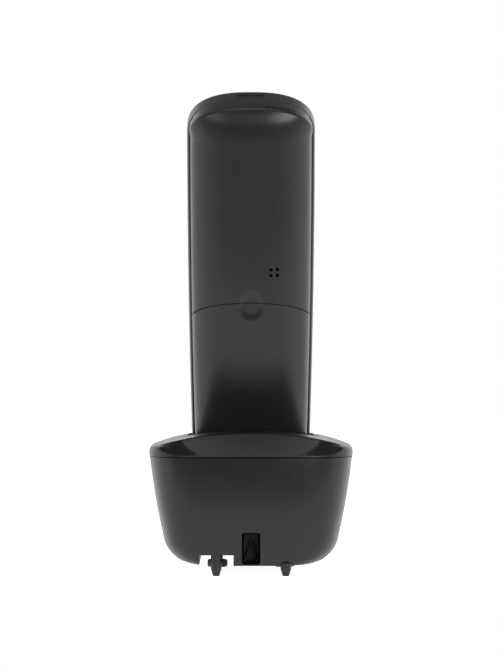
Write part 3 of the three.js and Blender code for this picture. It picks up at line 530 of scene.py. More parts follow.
FINISHES = {
    "moulded ABS case": lambda name, s: moulded_abs(name, tuple(s.case_colour), s.case_roughness),
    "moulded ABS base": lambda name, s: moulded_abs(name, tuple(s.base_colour), s.case_roughness + 0.03),
    "moulded ABS keys": lambda name, s: moulded_abs(name, tuple(s.key_colour), 0.42),
    "moulded ABS talk key": lambda name, s: moulded_abs(name, linear("#2f6a3c"), 0.4),
    "moulded ABS end key": lambda name, s: moulded_abs(name, linear("#8a2d2a"), 0.4),
    "moulded ABS socket": lambda name, s: moulded_abs(name, linear("#0d0d0e"), 0.5),
    "pad-printed legend": lambda name, s: printed_ink(name, linear("#dcdcd6")),
    "black printed border": lambda name, s: printed_ink(name, linear("#08090a")),
    "polished acrylic window": lambda name, s: polished_acrylic(name, linear("#eef1f0"), 1.0),
    "smoked acrylic lens": lambda name, s: polished_acrylic(name, tuple(s.lens_colour), 0.25, 0.12),
    "liquid crystal glass": lambda name, s: crystal_glass(name, linear("#8d9a80")),
    "silicone key mat": lambda name, s: silicone_rubber(name, linear("#50555c"), 0.6),
    "moulded rubber boot": lambda name, s: silicone_rubber(name, linear("#101010"), 0.75),
    "solder mask": lambda name, s: solder_mask(name, linear("#1c5a32")),
    "nickel-plated spring steel": lambda name, s: plated_metal(name, linear("#c9c5bb")),
    "gold-plated contact": lambda name, s: plated_metal(name, linear("#d6ac52")),
    "zinc-plated steel": lambda name, s: plated_metal(name, linear("#b4b8bd"), 0.32),
    "printed shrink film": lambda name, s: shrink_film(name, linear("#2d6f94"), linear("#c8a24c"), CELL_BAND),
}


def finish(name):
    """The named finish, made the first time that it is asked for."""
    return bpy.data.materials.get(name) or FINISHES[name](name, bpy.context.scene.phone)


# ---- handset shape --------------------------------------------------------------------------


def side_bow(u):
    """Half the front case's width away from the ends: a parabola, widest at WIDEST_AT."""
    return HALF_WIDTH - WAIST * ((u - WIDEST_AT) / WIDEST_AT) ** 2


def end_heights(inset, foot_rows, side_rows, top_rows):
    """Heights from foot to top, and the share of the bow's width that each one has:
    a quarter ellipse at the foot and a superellipse at the top."""
    turn = np.linspace(0, math.pi / 2, foot_rows)
    foot_u = inset + (FOOT_CORNER - inset) * (1 - np.cos(turn))
    foot_share = 1 - (1 - FOOT_FLAT) * (1 - np.sin(turn))
    side_u = np.linspace(FOOT_CORNER, LENGTH - TOP_CORNER, side_rows + 2)[1:-1]
    turn = np.linspace(0, math.pi / 2, top_rows)
    top_u = LENGTH - TOP_CORNER + (TOP_CORNER - inset) * np.sin(turn) ** (2 / CORNER_POWER)
    top_share = np.cos(turn).clip(0) ** (2 / CORNER_POWER)
    return (np.concatenate([foot_u, side_u, top_u]),
            np.concatenate([foot_share, np.ones(side_rows), top_share]))


def top_share(u):
    """How far a height is into the top end: 0 at the shoulder and below, 1 at the very top."""
    return ((u - (LENGTH - TOP_CORNER)) / TOP_CORNER).clip(0, 1)


def face_loop(inset, narrower=0.0, foot_rows=12, side_rows=36, top_rows=30):
    """The outline of the keypad face moved inwards, as a closed loop in x and u; narrower
    draws in the sides alone."""
    u, share = end_heights(inset, foot_rows, side_rows, top_rows)
    x = (side_bow(u) - inset - narrower * (1 - top_share(u)) ** 2) * share
    right = np.stack([x, u], axis=1)
    left = right[-2::-1] * [-1, 1]
    return np.concatenate([right, left])


def even_superellipse(power, half_x, half_y, sweep, count):
    """Points of a unit superellipse, spaced evenly along it once it is scaled."""
    angle = np.linspace(0, sweep, 8001)
    across = signed_power(np.cos(angle), 2 / power)
    deep = signed_power(np.sin(angle), 2 / power)
    steps = np.hypot(np.diff(across) * half_x, np.diff(deep) * half_y)
    travelled = np.concatenate([[0], np.cumsum(steps)])
    even = np.linspace(0, travelled[-1], count)
    return np.interp(even, travelled, across), np.interp(even, travelled, deep)


def back_depth(u, inset=0.0):
    """Depth of the back at a height: flat, and bending forwards by a cube towards the top."""
    return BACK_DEPTH - inset - TOP_EASE * top_share(u) ** 3


def back_half(u, inset=0.0):
    """Half the back's width: a step narrower than the front case, but level with it at the top."""
    return side_bow(u) - BACK_INSET * (1 - top_share(u)) ** 2 - inset


def end_rise(across, deep, inset=0.0):
    """How far the top end stands over the shoulder: a superellipse arch across, which droops
    to the back by a parabola. Both places are shares, of the half width and of the depth."""
    arch = (1 - np.abs(across).clip(0, 1) ** CORNER_POWER) ** (1 / CORNER_POWER)
    return arch * (TOP_CORNER - TOP_STEP - inset - TOP_DROOP * deep ** 2)


def back_body(inset, front=FIT_GAP, columns=76):
    """The back as one closed solid. From the foot to the shoulder each cross-section is a half
    superellipse, closed by a flat at the front; above it every point runs straight up to the
    top end's surface, round a quarter circle at the crease, and then in to the middle."""
    across, deep = even_superellipse(BACK_POWER, HALF_WIDTH, BACK_DEPTH, math.pi, columns)
    across = np.concatenate([[1], across, [-1]])
    deep = np.concatenate([[0], deep, [0]])
    u, share = end_heights(TOP_STEP + inset, 12, 44, 2)
    low_u = np.repeat(u[:-2, None], columns + 2, axis=1)
    arch = end_rise(across, 0 * deep, inset) / (TOP_CORNER - TOP_STEP - inset)
    wall = np.linspace(0, 1, 18)[:, None] * (end_rise(across, deep, inset) - TOP_CREASE * arch)
    turn = np.linspace(0, math.pi / 2, 7)[1:, None]
    shrink = np.concatenate([1 - TOP_CREASE / BACK_DEPTH * (1 - np.cos(turn)),
                             (1 - TOP_CREASE / BACK_DEPTH) * np.linspace(1, 0, 16)[1:, None]])
    under = np.concatenate([TOP_CREASE * (1 - np.sin(turn)), np.zeros((15, 1))])
    over = end_rise(shrink * across, shrink * deep, inset) - under * arch
    u = np.concatenate([low_u, LENGTH - TOP_CORNER + wall, LENGTH - TOP_CORNER + over])
    scale = np.concatenate([np.ones((len(low_u) + len(wall), 1)), shrink])
    narrow = np.concatenate([share[:-2], np.ones(len(wall) + len(over))])[:, None]
    x = back_half(u, inset) * narrow * scale * across
    curve = np.maximum(back_depth(u, inset) * scale * deep, max(front, 0))
    curve[:, [0, -1]] = front
    grid = leaned(x, curve, u)
    foot = leaned(np.zeros(grid.shape[1]), BACK_DEPTH * 0.4, TOP_STEP + inset)
    return np.concatenate([foot[None], grid])


def back_height(x, u):
    """How far the back's skin stands behind the joint at a place."""
    share = (np.abs(x) / (side_bow(u) - BACK_INSET)) ** BACK_POWER
    return float(back_depth(np.array(u)) * (1 - share) ** (1 / BACK_POWER))


def arched_prism(margin, near=-6.0, far=20.0):
    """The battery cover's region: everything below its arched top seam, front to back."""
    turn = np.linspace(0, math.pi, 97)
    half = HALF_WIDTH - BACK_INSET
    arch_x = (half + margin) * signed_power(np.cos(turn), 2 / CORNER_POWER)
    arch_u = COVER_TOP - COVER_CORNER + (COVER_CORNER + margin) * np.sin(turn).clip(0) ** (2 / CORNER_POWER)
    shoulder = COVER_TOP - COVER_CORNER
    x = np.concatenate([[40, 40], arch_x, [-40, -40]])
    u = np.concatenate([[-30, shoulder], arch_u, [shoulder, -30]])
    loop = [leaned(x, level, u) for level in (near, far)]
    ends = [leaned(np.zeros(len(x)), level, 20.0) for level in (near, far)]
    return np.stack([ends[0], *loop, ends[1]])


def oval_dimple():
    """The latch's finger dimple as a cutting solid: an oval bowl that is flat in its middle
    and rises softly to the skin from half way out."""
    far = np.concatenate([np.linspace(0, 0.5, 5), np.linspace(0.53, 1.0, 16), [1.1, 1.1, 0]])
    rise = ((far - 0.5) / 0.5).clip(0, 1)
    bowl = LATCH_DEPTH * (1 - rise * rise * (3 - 2 * rise))
    level = BACK_DEPTH - bowl
    level[-3:] = BACK_DEPTH + np.array([0.6, 3, 3])
    around = np.linspace(0, 2 * math.pi, 72, endpoint=False)
    x = np.outer(far, np.cos(around)) * LATCH_WIDTH / 2
    u = np.outer(far, np.sin(around)) * LATCH_HEIGHT / 2 + LATCH_U
    return leaned(x, level[:, None], u)


def in_handset(x0, u0):
    """A placing for pads that face backwards: d is n."""
    return lambda a, b, d: leaned(a + x0, d, b + u0)


def along_handset(n0):
    """A placing for pads that lie across the handset: a is x, b is n and d is the height u."""
    return lambda a, b, d: leaned(a, b + n0, d)


def light_space(margin):
    """The slot of the light bar, open at the top end."""
    width = LIGHT_WIDTH + 2 * margin
    depth = LIGHT_BACK - LIGHT_FRONT + 2 * margin
    return pad(width, depth, 0.6, [(0, LENGTH - LIGHT_DEPTH - GAP), (0, LENGTH + 5)],
               along_handset((LIGHT_BACK + LIGHT_FRONT) / 2))


def face_opening(width, height, x, u, radius, chamfer=0.3):
    """A cutting pad through the keypad face, with a flared rim."""
    levels = [(0, -5), (0, -chamfer), (2 * chamfer, chamfer), (2 * chamfer, 3)]
    return pad(width, height, radius, levels, on_keypad(x, u))


def top_grooves():
    """A row of fine grooves over the rear edge of the top end, each cut to the same depth
    under the end's own curve."""
    made = []
    for x0 in GROOVE_START - GROOVE_PITCH * np.arange(GROOVES):
        height = LENGTH - TOP_CORNER + end_rise(x0 / HALF_WIDTH, GROOVE_BACK / BACK_DEPTH)
        made.append(pad(0.5, 4.0, 0.2, [(0, height - GROOVE_DEPTH), (0, height + 3)],
                        lambda a, b, d, x0=x0: leaned(a + x0, GROOVE_BACK + b, d), 4))
    return made


# ---- handset cases --------------------------------------------------------------------------


def make_front_case():
    """The front shell: the face outline carried from the face round a 2.6 mm edge to the
    joint, and back inside at the wall's thickness."""
    rim = -FIT_GAP
    turn = np.linspace(0, math.pi / 2, 10)
    outer = [(FACE_EDGE * (1 - math.sin(t)), 0, -FRONT_DEPTH + FACE_EDGE * (1 - math.cos(t))) for t in turn]
    small = FACE_EDGE - WALL
    inner = [(WALL + small * (1 - math.sin(t)), 0, -FRONT_DEPTH + WALL + small * (1 - math.cos(t)))
             for t in turn[::-2]]
    round_over = [(0, RIM_IN * (1 - math.cos(t)), rim - RIM_RUN * (1 - math.sin(t))) for t in turn]
    rows = outer + round_over + [(WALL, 0, rim)] + inner
    rings = [leaned(loop[:, 0], level, loop[:, 1]) for loop, level in
             ((face_loop(inset, narrower), level) for inset, narrower, level in rows)]
    count = rings[0].shape[0]
    ends = [leaned(np.zeros(count), level, LENGTH / 2) for level in (-FRONT_DEPTH, -FRONT_DEPTH + WALL)]
    case = object_of("front_case", np.stack([ends[0], *rings, ends[1]]))
    keys = [(12.6, 8.0, x, u) for _, _, x, u in digit_keys()]
    keys += [(w + 0.6, h + 0.6, x, u) for _, w, h, x, u, *_ in function_keys()]
    openings = [face_opening(w, h, x, u, 2.0) for w, h, x, u in keys]
    openings += [face_opening(13.6, 17.6, 0, ROCKER_U, 3.2), face_opening(38.6, 33.6, 0, DISPLAY_U, 3.1, 0.35)]
    openings += [face_opening(10 - 3 * abs(row), 1.0, 0, 147 + 2 * row, 0.48, 0.2) for row in (-1, 0, 1)]
    openings.append(turned_solid([(0, 5.5), (0.6, 5.5), (0.6, 10.2), (1.1, 10.7), (1.1, 12), (0, 12)],
                                 lambda a, b, d: leaned(a, -d, b + 22.0), 24))
    return joined_by(case, [object_of("tool", *openings), object_of("tool", light_space(2 * FIT_GAP))])


def make_rear_case():
    """The rear shell: the back's skin above the arched seam, a step down under the cover, the
    cell pocket, four sound holes, the latch dimple and fine grooves at the top edge."""
    step = COVER_THICK + GAP
    case = object_of("rear_case", back_body(0))
    joined_by(case, [object_of("tool", arched_prism(GAP))])
    joined_by(case, [object_of("tool", back_body(step))], "UNION")
    joined_by(case, [object_of("tool", back_body(step + 1.5, -4.0))])
    tubes = [turned_solid([(0, 0.3), (3.6, 0.3), (3.6, 12), (0, 12)], in_handset(x, 12.0)) for x in (-16.5, 16.5)]
    pocket = pad(25.6, 56.3, 1.6, [(0, GAP / 2), (0, 9.0)], in_handset(0, 43.75))
    inside = joined_by(object_of("tool", pocket, *tubes), [object_of("tool", back_body(step + 0.2))], "INTERSECT")
    joined_by(case, [inside], "UNION")
    cavity = pad(22.8, 53.5, 1.0, [(0, 1.6), (0, 20)], in_handset(0, 43.75))
    bores = [turned_solid([(0, -2), (1.6, -2), (1.6, 2), (2.9, 2), (2.9, 20), (0, 20)], in_handset(x, 12.0))
             for x in (-16.5, 16.5)]
    joined_by(case, [object_of("tool", cavity, *bores), object_of("tool", oval_dimple())])
    holes = []
    for i in range(4):
        x = HOLE_X + (i % 2 - 0.5) * HOLE_PITCH
        u = HOLE_U + (i // 2 - 0.5) * HOLE_PITCH
        skin = back_height(x, u)
        holes.append(turned_solid([(0, 6), (0.65, 6), (0.65, skin - 0.2), (1.05, skin + 0.2), (1.05, 16), (0, 16)],
                                  in_handset(x, u), 28))
    return joined_by(case, [object_of("tool", *holes, *top_grooves())])


def make_battery_cover():
    """The sliding cover: the back's skin below the arched seam, 1.6 mm thick, with the lower
    half of the dimple."""
    cover = object_of("battery_cover_shell", back_body(0))
    joined_by(cover, [object_of("tool", arched_prism(0))], "INTERSECT")
    return joined_by(cover, [object_of("tool", back_body(COVER_THICK, -4.0)), object_of("tool", oval_dimple())])


# ---- keys and display -----------------------------------------------------------------------


def function_keys():
    """Name, size, centre and finish of the four keys beside the rocker."""
    return [
        ("key_talk", 11, 8, -15.2, 81.5, "moulded ABS talk key", "talk_key_plastic"),
        ("key_end", 11, 8, 15.2, 81.5, "moulded ABS end key", "end_key_plastic"),
        ("key_soft_left", 11, 6, -15.2, 95.5, "moulded ABS keys", "key_plastic"),
        ("key_soft_right", 11, 6, 15.2, 95.5, "moulded ABS keys", "key_plastic"),
    ]


def key_cap(name, width, height, x, u):
    """A crowned cap: its rounded outline shrinks as it rises, first round the edge and then
    over a shallow crown."""
    levels = [(0, -1.8), (0, 0.42), (-0.1, 0.58), (-0.25, 0.68), (-0.5, 0.755), (-0.9, 0.82),
              (-1.4, 0.868), (-1.9, 0.9), (-2.4, 0.922), (-2.8, 0.932)]
    return object_of(name, pad(width, height, 1.9, levels, on_keypad(x, u)))


def add_mark(piece, text, size, place, ink):
    """Adds a thin raised mark, cut from the built-in type, to a piece."""
    curve = bpy.data.curves.new("mark", "FONT")
    curve.body = text
    curve.size = size
    curve.align_x = "CENTER"
    curve.align_y = "CENTER"
    curve.extrude = 0.04
    letter = bpy.data.objects.new("mark", curve)
    bpy.context.scene.collection.objects.link(letter)
    bpy.context.view_layer.update()
    flat = bpy.data.meshes.new_from_object(letter.evaluated_get(bpy.context.evaluated_depsgraph_get()))
    points = np.empty(len(flat.vertices) * 3)
    flat.vertices.foreach_get("co", points)
    a, b, d = points.reshape(-1, 3).T
    flat.vertices.foreach_set("co", place(a, b, d + MARK_LEVEL).ravel())
    join_mesh(piece, flat, ink)
    bpy.data.objects.remove(letter)


def join_mesh(piece, mesh, material):
    """Adds a mesh to a piece, with a material of its own."""
    piece.data.materials.append(material)
    index = len(piece.data.materials) - 1
    work = bmesh.new()
    work.from_mesh(mesh)
    bmesh.ops.remove_doubles(work, verts=work.verts, dist=1e-7)
    bmesh.ops.recalc_face_normals(work, faces=work.faces)
    for face in work.faces:
        face.material_index = index
    work.to_mesh(mesh)
    work.clear()
    work.from_mesh(piece.data)
    work.from_mesh(mesh)
    work.to_mesh(piece.data)
    work.free()
    piece.data.set_sharp_from_angle(angle=math.radians(32))


def make_rocker():
    """The two-way rocker: a rounded cap dished along its length, so that both ends stand up."""
    cap = object_of("rocker_cap", pad(13, 17, 3.0, [(0, -1.2), (0, 0.35), (-0.15, 0.6), (-0.5, 0.78), (-1.1, 0.84)],
                                      on_keypad(0, ROCKER_U)))
    around = np.linspace(0, 2 * math.pi, 180, endpoint=False)
    radius = 22.0
    ring_u = ROCKER_U + radius * np.cos(around)
    ring_n = -FRONT_DEPTH - 0.45 - radius + radius * np.sin(around)
    rows = [leaned(x, ring_n, ring_u) for x in (-9.0, 9.0)]
    ends = [leaned(np.full(len(around), x), -FRONT_DEPTH - 0.45 - radius, ROCKER_U) for x in (-9.0, 9.0)]
    return joined_by(cap, [object_of("tool", np.stack([ends[0], *rows, ends[1]]))])


# ---- base shape -----------------------------------------------------------------------------


def softly_lowest(first, second, blend):
    """The lower of two heights, rounded over where they cross."""
    share = (0.5 + 0.5 * (second - first) / blend).clip(0, 1)
    return second * (1 - share) + first * share - blend * share * (1 - share)


def crown_height(x, y, blend=0.7):
    """Height of the top cover: an arc across, and one slope each at the front and the back."""
    crown = TOP_Z - CROWN_RADIUS + np.sqrt(CROWN_RADIUS ** 2 - x ** 2)
    front = TOP_Z + (y - FRONT_SLOPE_Y) * math.tan(FRONT_SLOPE)
    rear = TOP_Z - (y - REAR_SLOPE_Y) * math.tan(REAR_SLOPE)
    return softly_lowest(softly_lowest(crown, rear, blend), front, blend)


def rear_share(columns):
    """1 along the rear of the outline and 0 round its sides and front, turning smoothly
    between the two at the rear corners."""
    deep = even_superellipse(BASE_POWER, COVER_HALF_X, COVER_HALF_Y, 2 * math.pi, columns + 1)[1][:-1]
    share = ((deep - REAR_CORNER[0]) / (REAR_CORNER[1] - REAR_CORNER[0])).clip(0, 1)
    return share * share * (3 - 2 * share)


def skirt_top(columns):
    """The height at which the skirt begins to round over: low at the rear."""
    return SKIRT_Z + (REAR_SKIRT_Z - SKIRT_Z) * rear_share(columns)


def rim_height(inwards, columns):
    """Height that the rounded skirt allows, this far in from its edge: a quarter circle, and
    then steeply up."""
    radius = SKIRT_ROUND + (REAR_SKIRT_ROUND - SKIRT_ROUND) * rear_share(columns)
    near = (radius - inwards).clip(0)
    return skirt_top(columns) + np.sqrt(radius ** 2 - near ** 2) + 2.0 * (inwards - radius).clip(0)


def plan_loop(inwards, columns):
    """The base's outline moved inwards: a superellipse of power 4.4."""
    across, deep = even_superellipse(BASE_POWER, COVER_HALF_X, COVER_HALF_Y, 2 * math.pi, columns + 1)
    return (COVER_HALF_X - inwards) * across[:-1], BASE_Y + (COVER_HALF_Y - inwards) * deep[:-1]


def cover_rows(columns, rows, extra=0.0, lower=0.0):
    """The top surface from its rim to its middle; extra moves it in from the edge, and lower
    moves it down."""
    turn = np.linspace(0, math.pi / 2, 12)
    inwards = np.concatenate([SKIRT_ROUND * (1 - np.cos(turn)), np.linspace(SKIRT_ROUND, COVER_HALF_X, rows)[1:]])
    made = []
    for step in inwards:
        x, y = plan_loop(min(step + extra, COVER_HALF_X - 1e-3), columns)
        made.append(straight(x, y, softly_lowest(crown_height(x, y), rim_height(step + extra, columns), 0.3) - lower))
    return made


def rim_ring(inwards, z, columns):
    """One ring of the skirt."""
    x, y = plan_loop(inwards, columns)
    return straight(x, y, z)


def end_row(columns, z, y=BASE_Y):
    """A row of one repeated point, which closes a surface in its middle."""
    return straight(np.zeros(columns), y, z)


def cup_prism(margin, floor, back_only=False, top=34.0):
    """The handset's outline grown by a margin and carried along the handset's own lean."""
    width = 2 * (HALF_WIDTH - 0.4 + margin)
    front = WELL_FRONT - (margin - CUP_GAP) if back_only else -FRONT_DEPTH - margin
    depth = BACK_DEPTH + margin - front
    return pad(width, depth, 2.0 if back_only else 4 + margin, [(0, floor), (0, top)],
               along_handset(front + depth / 2), 10)


def make_top_cover():
    """The top cover: a skirt that rounds over into a crowned top with two slopes, hollow at
    the wall's thickness, and the cup that the handset stands in."""
    columns = 240
    outside = [rim_ring(0.2, SEAM_Z, columns), rim_ring(0, SEAM_Z + 0.2, columns),
               rim_ring(0, 0.3 * (SEAM_Z + 0.2) + 0.7 * skirt_top(columns), columns),
               *cover_rows(columns, 76)]
    top = end_row(columns, TOP_Z)
    inside = cover_rows(columns, 24, WALL, WALL)[::-1]
    shell = np.stack([top, *outside[::-1], rim_ring(WALL, SEAM_Z, columns), *inside[::-1], top - [0, 0, WALL * MM]])
    cover = object_of("top_cover", shell)
    whole = np.stack([end_row(columns, 20.0), rim_ring(0.2, 20.0, columns), *outside[1:], top])
    cup = joined_by(object_of("tool", cup_prism(CUP_GAP + CUP_WALL, CUP_FLOOR - CUP_WALL)),
                    [object_of("tool", cup_prism(CUP_GAP + CUP_WALL, CUP_WELL - CUP_WALL, True))], "UNION")
    joined_by(cup, [object_of("tool", whole)], "INTERSECT")
    bosses = object_of("tool", *[turned_solid([(0, SCREW_JOINT + GAP), (3.6, SCREW_JOINT + GAP), (3.6, 49), (0, 49)],
                                              upright(side * SCREW_X, SCREW_Y)) for side in (-1, 1)])
    joined_by(cover, [cup, bosses], "UNION")
    button = pad(15.6, 6.6, 2.6, [(0, -6), (0, -0.3), (0.6, 0.3), (0.6, 5)], on_front_slope(0))
    light = turned_solid([(0, -6), (1.9, -6), (1.9, -0.2), (2.4, 0.3), (2.4, 5), (0, 5)], on_front_slope(LIGHT_X))
    pins = [turned_solid([(0, -20), (1.9, -20), (1.9, 4), (0, 4)],
                         lambda a, b, d, x0=x0: leaned(a + x0, b + CONTACT_N, d), 24) for x0 in (-CONTACT_X, CONTACT_X)]
    pilots = [turned_solid([(0, 20), (1.7, 20), (1.7, 44), (0, 44)], upright(x, SCREW_Y), 24)
              for x in (-SCREW_X, SCREW_X)]
    return joined_by(cover, [
        object_of("tool", cup_prism(CUP_GAP, CUP_FLOOR)),
        object_of("tool", cup_prism(CUP_GAP, CUP_WELL, True)),
        object_of("tool", button, light, *pins, *pilots),
    ])


def housing_rows(inset, columns):
    """Rings of the lower housing from its underside to the joint: a quarter round, then a
    drafted wall with a slight bulge. The rear half leans in more as it goes down."""
    tangent_z = BOTTOM_Z + BOTTOM_RADIUS * (1 - math.sin(DRAFT))
    centre_in = (SEAM_Z - tangent_z) * math.tan(DRAFT) + BOTTOM_RADIUS * math.cos(DRAFT)
    turn = np.linspace(math.pi / 2, DRAFT, 16)
    low_z = BOTTOM_Z + BOTTOM_RADIUS - (BOTTOM_RADIUS - inset) * np.sin(turn)
    low_in = centre_in - (BOTTOM_RADIUS - inset) * np.cos(turn)
    share = np.linspace(0, 1, 22)[1:]
    top = SEAM_Z - SEAM_GAP
    wall_z = low_z[-1] + (top - low_z[-1]) * share
    wall_in = low_in[-1] + (inset / math.cos(DRAFT) - low_in[-1]) * share - SIDE_BULGE * np.sin(math.pi * share)
    z = np.concatenate([low_z, wall_z])
    inwards = np.concatenate([low_in, wall_in])
    lean = REAR_LEAN_IN * ((SEAM_Z - z) / (SEAM_Z - BOTTOM_Z)).clip(0) ** 1.5
    across, deep = even_superellipse(BASE_POWER, HOUSING_HALF_X, COVER_HALF_Y, 2 * math.pi, columns + 1)
    across, deep = across[:-1], deep[:-1]
    x = np.outer(HOUSING_HALF_X - inwards, across)
    front = np.outer(COVER_HALF_Y - inwards, deep)
    rear = np.outer(COVER_HALF_Y - inset - lean, deep)
    return straight(x, BASE_Y + np.where(deep > 0, rear, front), z[:, None])


def slab(x_range, y_range, z_range, radius=0.5):
    """A block between limits, its upright edges rounded."""
    width, depth = x_range[1] - x_range[0], y_range[1] - y_range[0]
    return pad(width, depth, radius, [(0, z_range[0]), (0, z_range[1])],
               upright(sum(x_range) / 2, sum(y_range) / 2), 5)


def leg(x, y, top, profile):
    """A turned leg that ends inside the housing's floor."""
    return turned_solid([*profile, (profile[-1][0], top), (0, top)], upright(x, y), 36)


def make_lower_housing():
    """The lower housing: a drafted bowl with a round underside, the lead slot and channel,
    two screw wells and four legs."""
    columns = 240
    outside = housing_rows(0, columns)
    inside = housing_rows(WALL, columns)[::-1]
    rim = outside[-1] * [0.995, 1, 1] + [0, 0, 0]
    bottom = end_row(columns, BOTTOM_Z)
    housing = object_of("lower_housing", np.concatenate([bottom[None], outside, inside,
                                                         bottom[None] + [0, 0, WALL * MM]]))
    solid = object_of("tool", np.concatenate([bottom[None], outside, end_row(columns, SEAM_Z - SEAM_GAP)[None]]))
    wall = 1.6
    walls = joined_by(
        object_of("tool", slab((CHANNEL_LEFT - wall, CHANNEL_RIGHT + wall), (CHANNEL_FRONT - wall, 31),
                               (BOTTOM_Z + 0.5, CHANNEL_TOP + wall))),
        [object_of("tool", slab((-SLOT_WIDTH / 2 - wall, SLOT_WIDTH / 2 + wall), (SLOT_END, 31),
                                (BOTTOM_Z + 0.5, SLOT_TOP + wall)))], "UNION")
    posts = [object_of("tool", turned_solid([(0, BOTTOM_Z + 1), (4.6, BOTTOM_Z + 1), (4.6, SCREW_JOINT),
                                             (0, SCREW_JOINT)], upright(side * SCREW_X, SCREW_Y)))
             for side in (-1, 1)]
    joined_by(walls, posts, "UNION")
    joined_by(walls, [solid], "INTERSECT")
    joined_by(housing, [walls], "UNION")
    slot = pad(SLOT_WIDTH, SLOT_TOP - SLOT_BOTTOM, 1.0, [(0, SLOT_END + wall), (0, 60)],
               facing_back(0, (SLOT_TOP + SLOT_BOTTOM) / 2))
    bores = [turned_solid([(0, -5), (3.1, -5), (3.1, SCREW_JOINT - 4), (1.7, SCREW_JOINT - 4),
                           (1.7, SCREW_JOINT + 1), (0, SCREW_JOINT + 1)], upright(side * SCREW_X, SCREW_Y))
             for side in (-1, 1)]
    joined_by(housing, [
        object_of("tool", slab((CHANNEL_LEFT, CHANNEL_RIGHT), (CHANNEL_FRONT, 60), (-5, CHANNEL_TOP), 0.6)),
        object_of("tool", slot, *bores),
    ])
    rear_leg = [(0, 0), (1.1, 0), (1.35, 0.25), (1.75, 1.8), (2.05, 2.6)]
    stub = [(0, 1.2), (2.2, 1.2)]
    low, high = BOTTOM_Z + 1, CHANNEL_TOP + 0.5
    legs = object_of("tool", leg(-LEG_X, REAR_LEG_Y, low, rear_leg), leg(LEG_X, REAR_LEG_Y, high, rear_leg),
                     leg(-LEG_X, FRONT_LEG_Y, low, stub), leg(LEG_X, FRONT_LEG_Y, high, stub))
    return joined_by(housing, [legs], "UNION")


# ---- base fittings --------------------------------------------------------------------------


def make_boot(name, x):
    """A rubber boot: a turned cup with a rounded foot, pushed on to the leg's stub."""
    profile = [(0, 0), (3.2, 0), (3.65, 0.12), (3.92, 0.4), (4.0, 0.7), (4.0, 2.3), (3.9, 2.7),
               (3.6, 2.95), (3.3, 3.0), (2.5, 3.0), (2.5, 0.9), (0, 0.9)]
    return object_of(name, turned_solid(profile, upright(x, FRONT_LEG_Y), 56))


def guide_lip(side, back):
    """A lip of the socket's throat: a rib that starts in a lower corner and bends up towards
    the middle along a quarter sine, thinner and further in as it rises."""
    along = np.linspace(0, 1, 14)[:, None]
    loop = rounded_loop(1.0, 1.0, 0.3, 5)
    x = side * (2.35 - 1.7 * np.sin(along * math.pi / 2)) + loop[:, 0] * (0.9 - 0.45 * along)
    y = back - 2.6 - 1.6 * along + loop[:, 1] * 3.6
    z = SLOT_BOTTOM + 0.9 + 7.4 * along + 0 * loop[:, 0]
    rows = straight(x, y, z)
    ends = [np.repeat(rows[i].mean(axis=0)[None, None], len(loop), axis=1) for i in (0, -1)]
    return np.concatenate([ends[0], rows, ends[1]])


def make_socket():
    """The lead socket: a block set back in its slot, with an open throat and two lips that
    guide the lead."""
    low, high = (v / MM for v in (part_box("lead_socket")[0].y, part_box("lead_socket")[1].y))
    middle = (SLOT_BOTTOM + SLOT_TOP) / 2
    width, height = SLOT_WIDTH - 2 * GAP, SLOT_TOP - SLOT_BOTTOM - 2 * GAP
    back = high - SOCKET_SET_BACK
    body = object_of("socket_body", pad(width, height, 0.7, [(-0.3, low), (0, low + 0.3), (0, back - 0.3), (-0.3, back)],
                                        facing_back(0, middle)))
    throat = pad(width - 1.2, height - 1.4, 0.5, [(0, low + 2), (0, back - 0.6), (0.4, back + 0.2), (0.4, back + 3)],
                 facing_back(0, middle))
    joined_by(body, [object_of("tool", throat)])
    return joined_by(body, [object_of("tool", guide_lip(-1, back)), object_of("tool", guide_lip(1, back))], "UNION")


def make_page_button():
    """The paging button: a crowned pill on a wider plate that keeps it in."""
    levels = [(0, -2.5), (0, 0.4), (-0.12, 0.62), (-0.4, 0.78), (-0.9, 0.86), (-1.6, 0.9)]
    cap = object_of("page_button_cap", pad(15, 6, 2.5, levels, on_front_slope(0)))
    plate = pad(17.4, 4, 1.0, [(0, -3.4), (0, -2.4)], on_front_slope(0))
    return joined_by(cap, [object_of("tool", plate)], "UNION")


def make_coil_spring(name, side, up):
    """The negative contact: a foot plate and a conical coil of round wire. The wire's line is a
    helix that narrows from 3.1 mm to 1.7 mm radius; its section is carried round it."""
    low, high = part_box(f"battery_spring_{'left' if side < 0 else 'right'}")
    corners = np.array([[(c @ axis) for axis in (ACROSS, BACK, UP)]
                        for c in (node_points(name.replace("coil_", "battery_spring_")) - ORIGIN)]) / MM
    x0 = (corners[:, 0].min() + corners[:, 0].max()) / 2
    u_low, u_high = corners[:, 2].min(), corners[:, 2].max()
    n0 = corners[:, 1].max() - 3.6
    wire = 0.28
    turns = 3.6
    t = np.linspace(0, 1, 150)
    reach = u_high - u_low - 0.5 - 2 * wire
    height = 0.5 + wire + reach * t
    spin = 2 * math.pi * turns * t
    radius = 3.1 - 1.4 * t
    around = np.linspace(0, 2 * math.pi, 10, endpoint=False)
    ring_r = radius[:, None] + wire * np.cos(around)
    ring_h = height[:, None] + wire * np.sin(around)
    u = u_low + ring_h if up > 0 else u_high - ring_h
    coil = leaned(x0 + ring_r * np.cos(spin)[:, None], n0 + ring_r * np.sin(spin)[:, None], u)
    ends = [np.repeat(coil[i].mean(axis=0)[None], len(around), axis=0) for i in (0, -1)]
    plate_levels = [(0, u_low), (0, u_low + 0.5)] if up > 0 else [(0, u_high - 0.5), (0, u_high)]
    plate = pad(8, 7.6, 0.8, plate_levels, lambda a, b, d: leaned(a + x0, b + n0 - 0.2, d))
    return object_of(name, np.concatenate([ends[0][None], coil, ends[1][None]]), plate)


# ---- sizes and colours that a user may change -----------------------------------------------


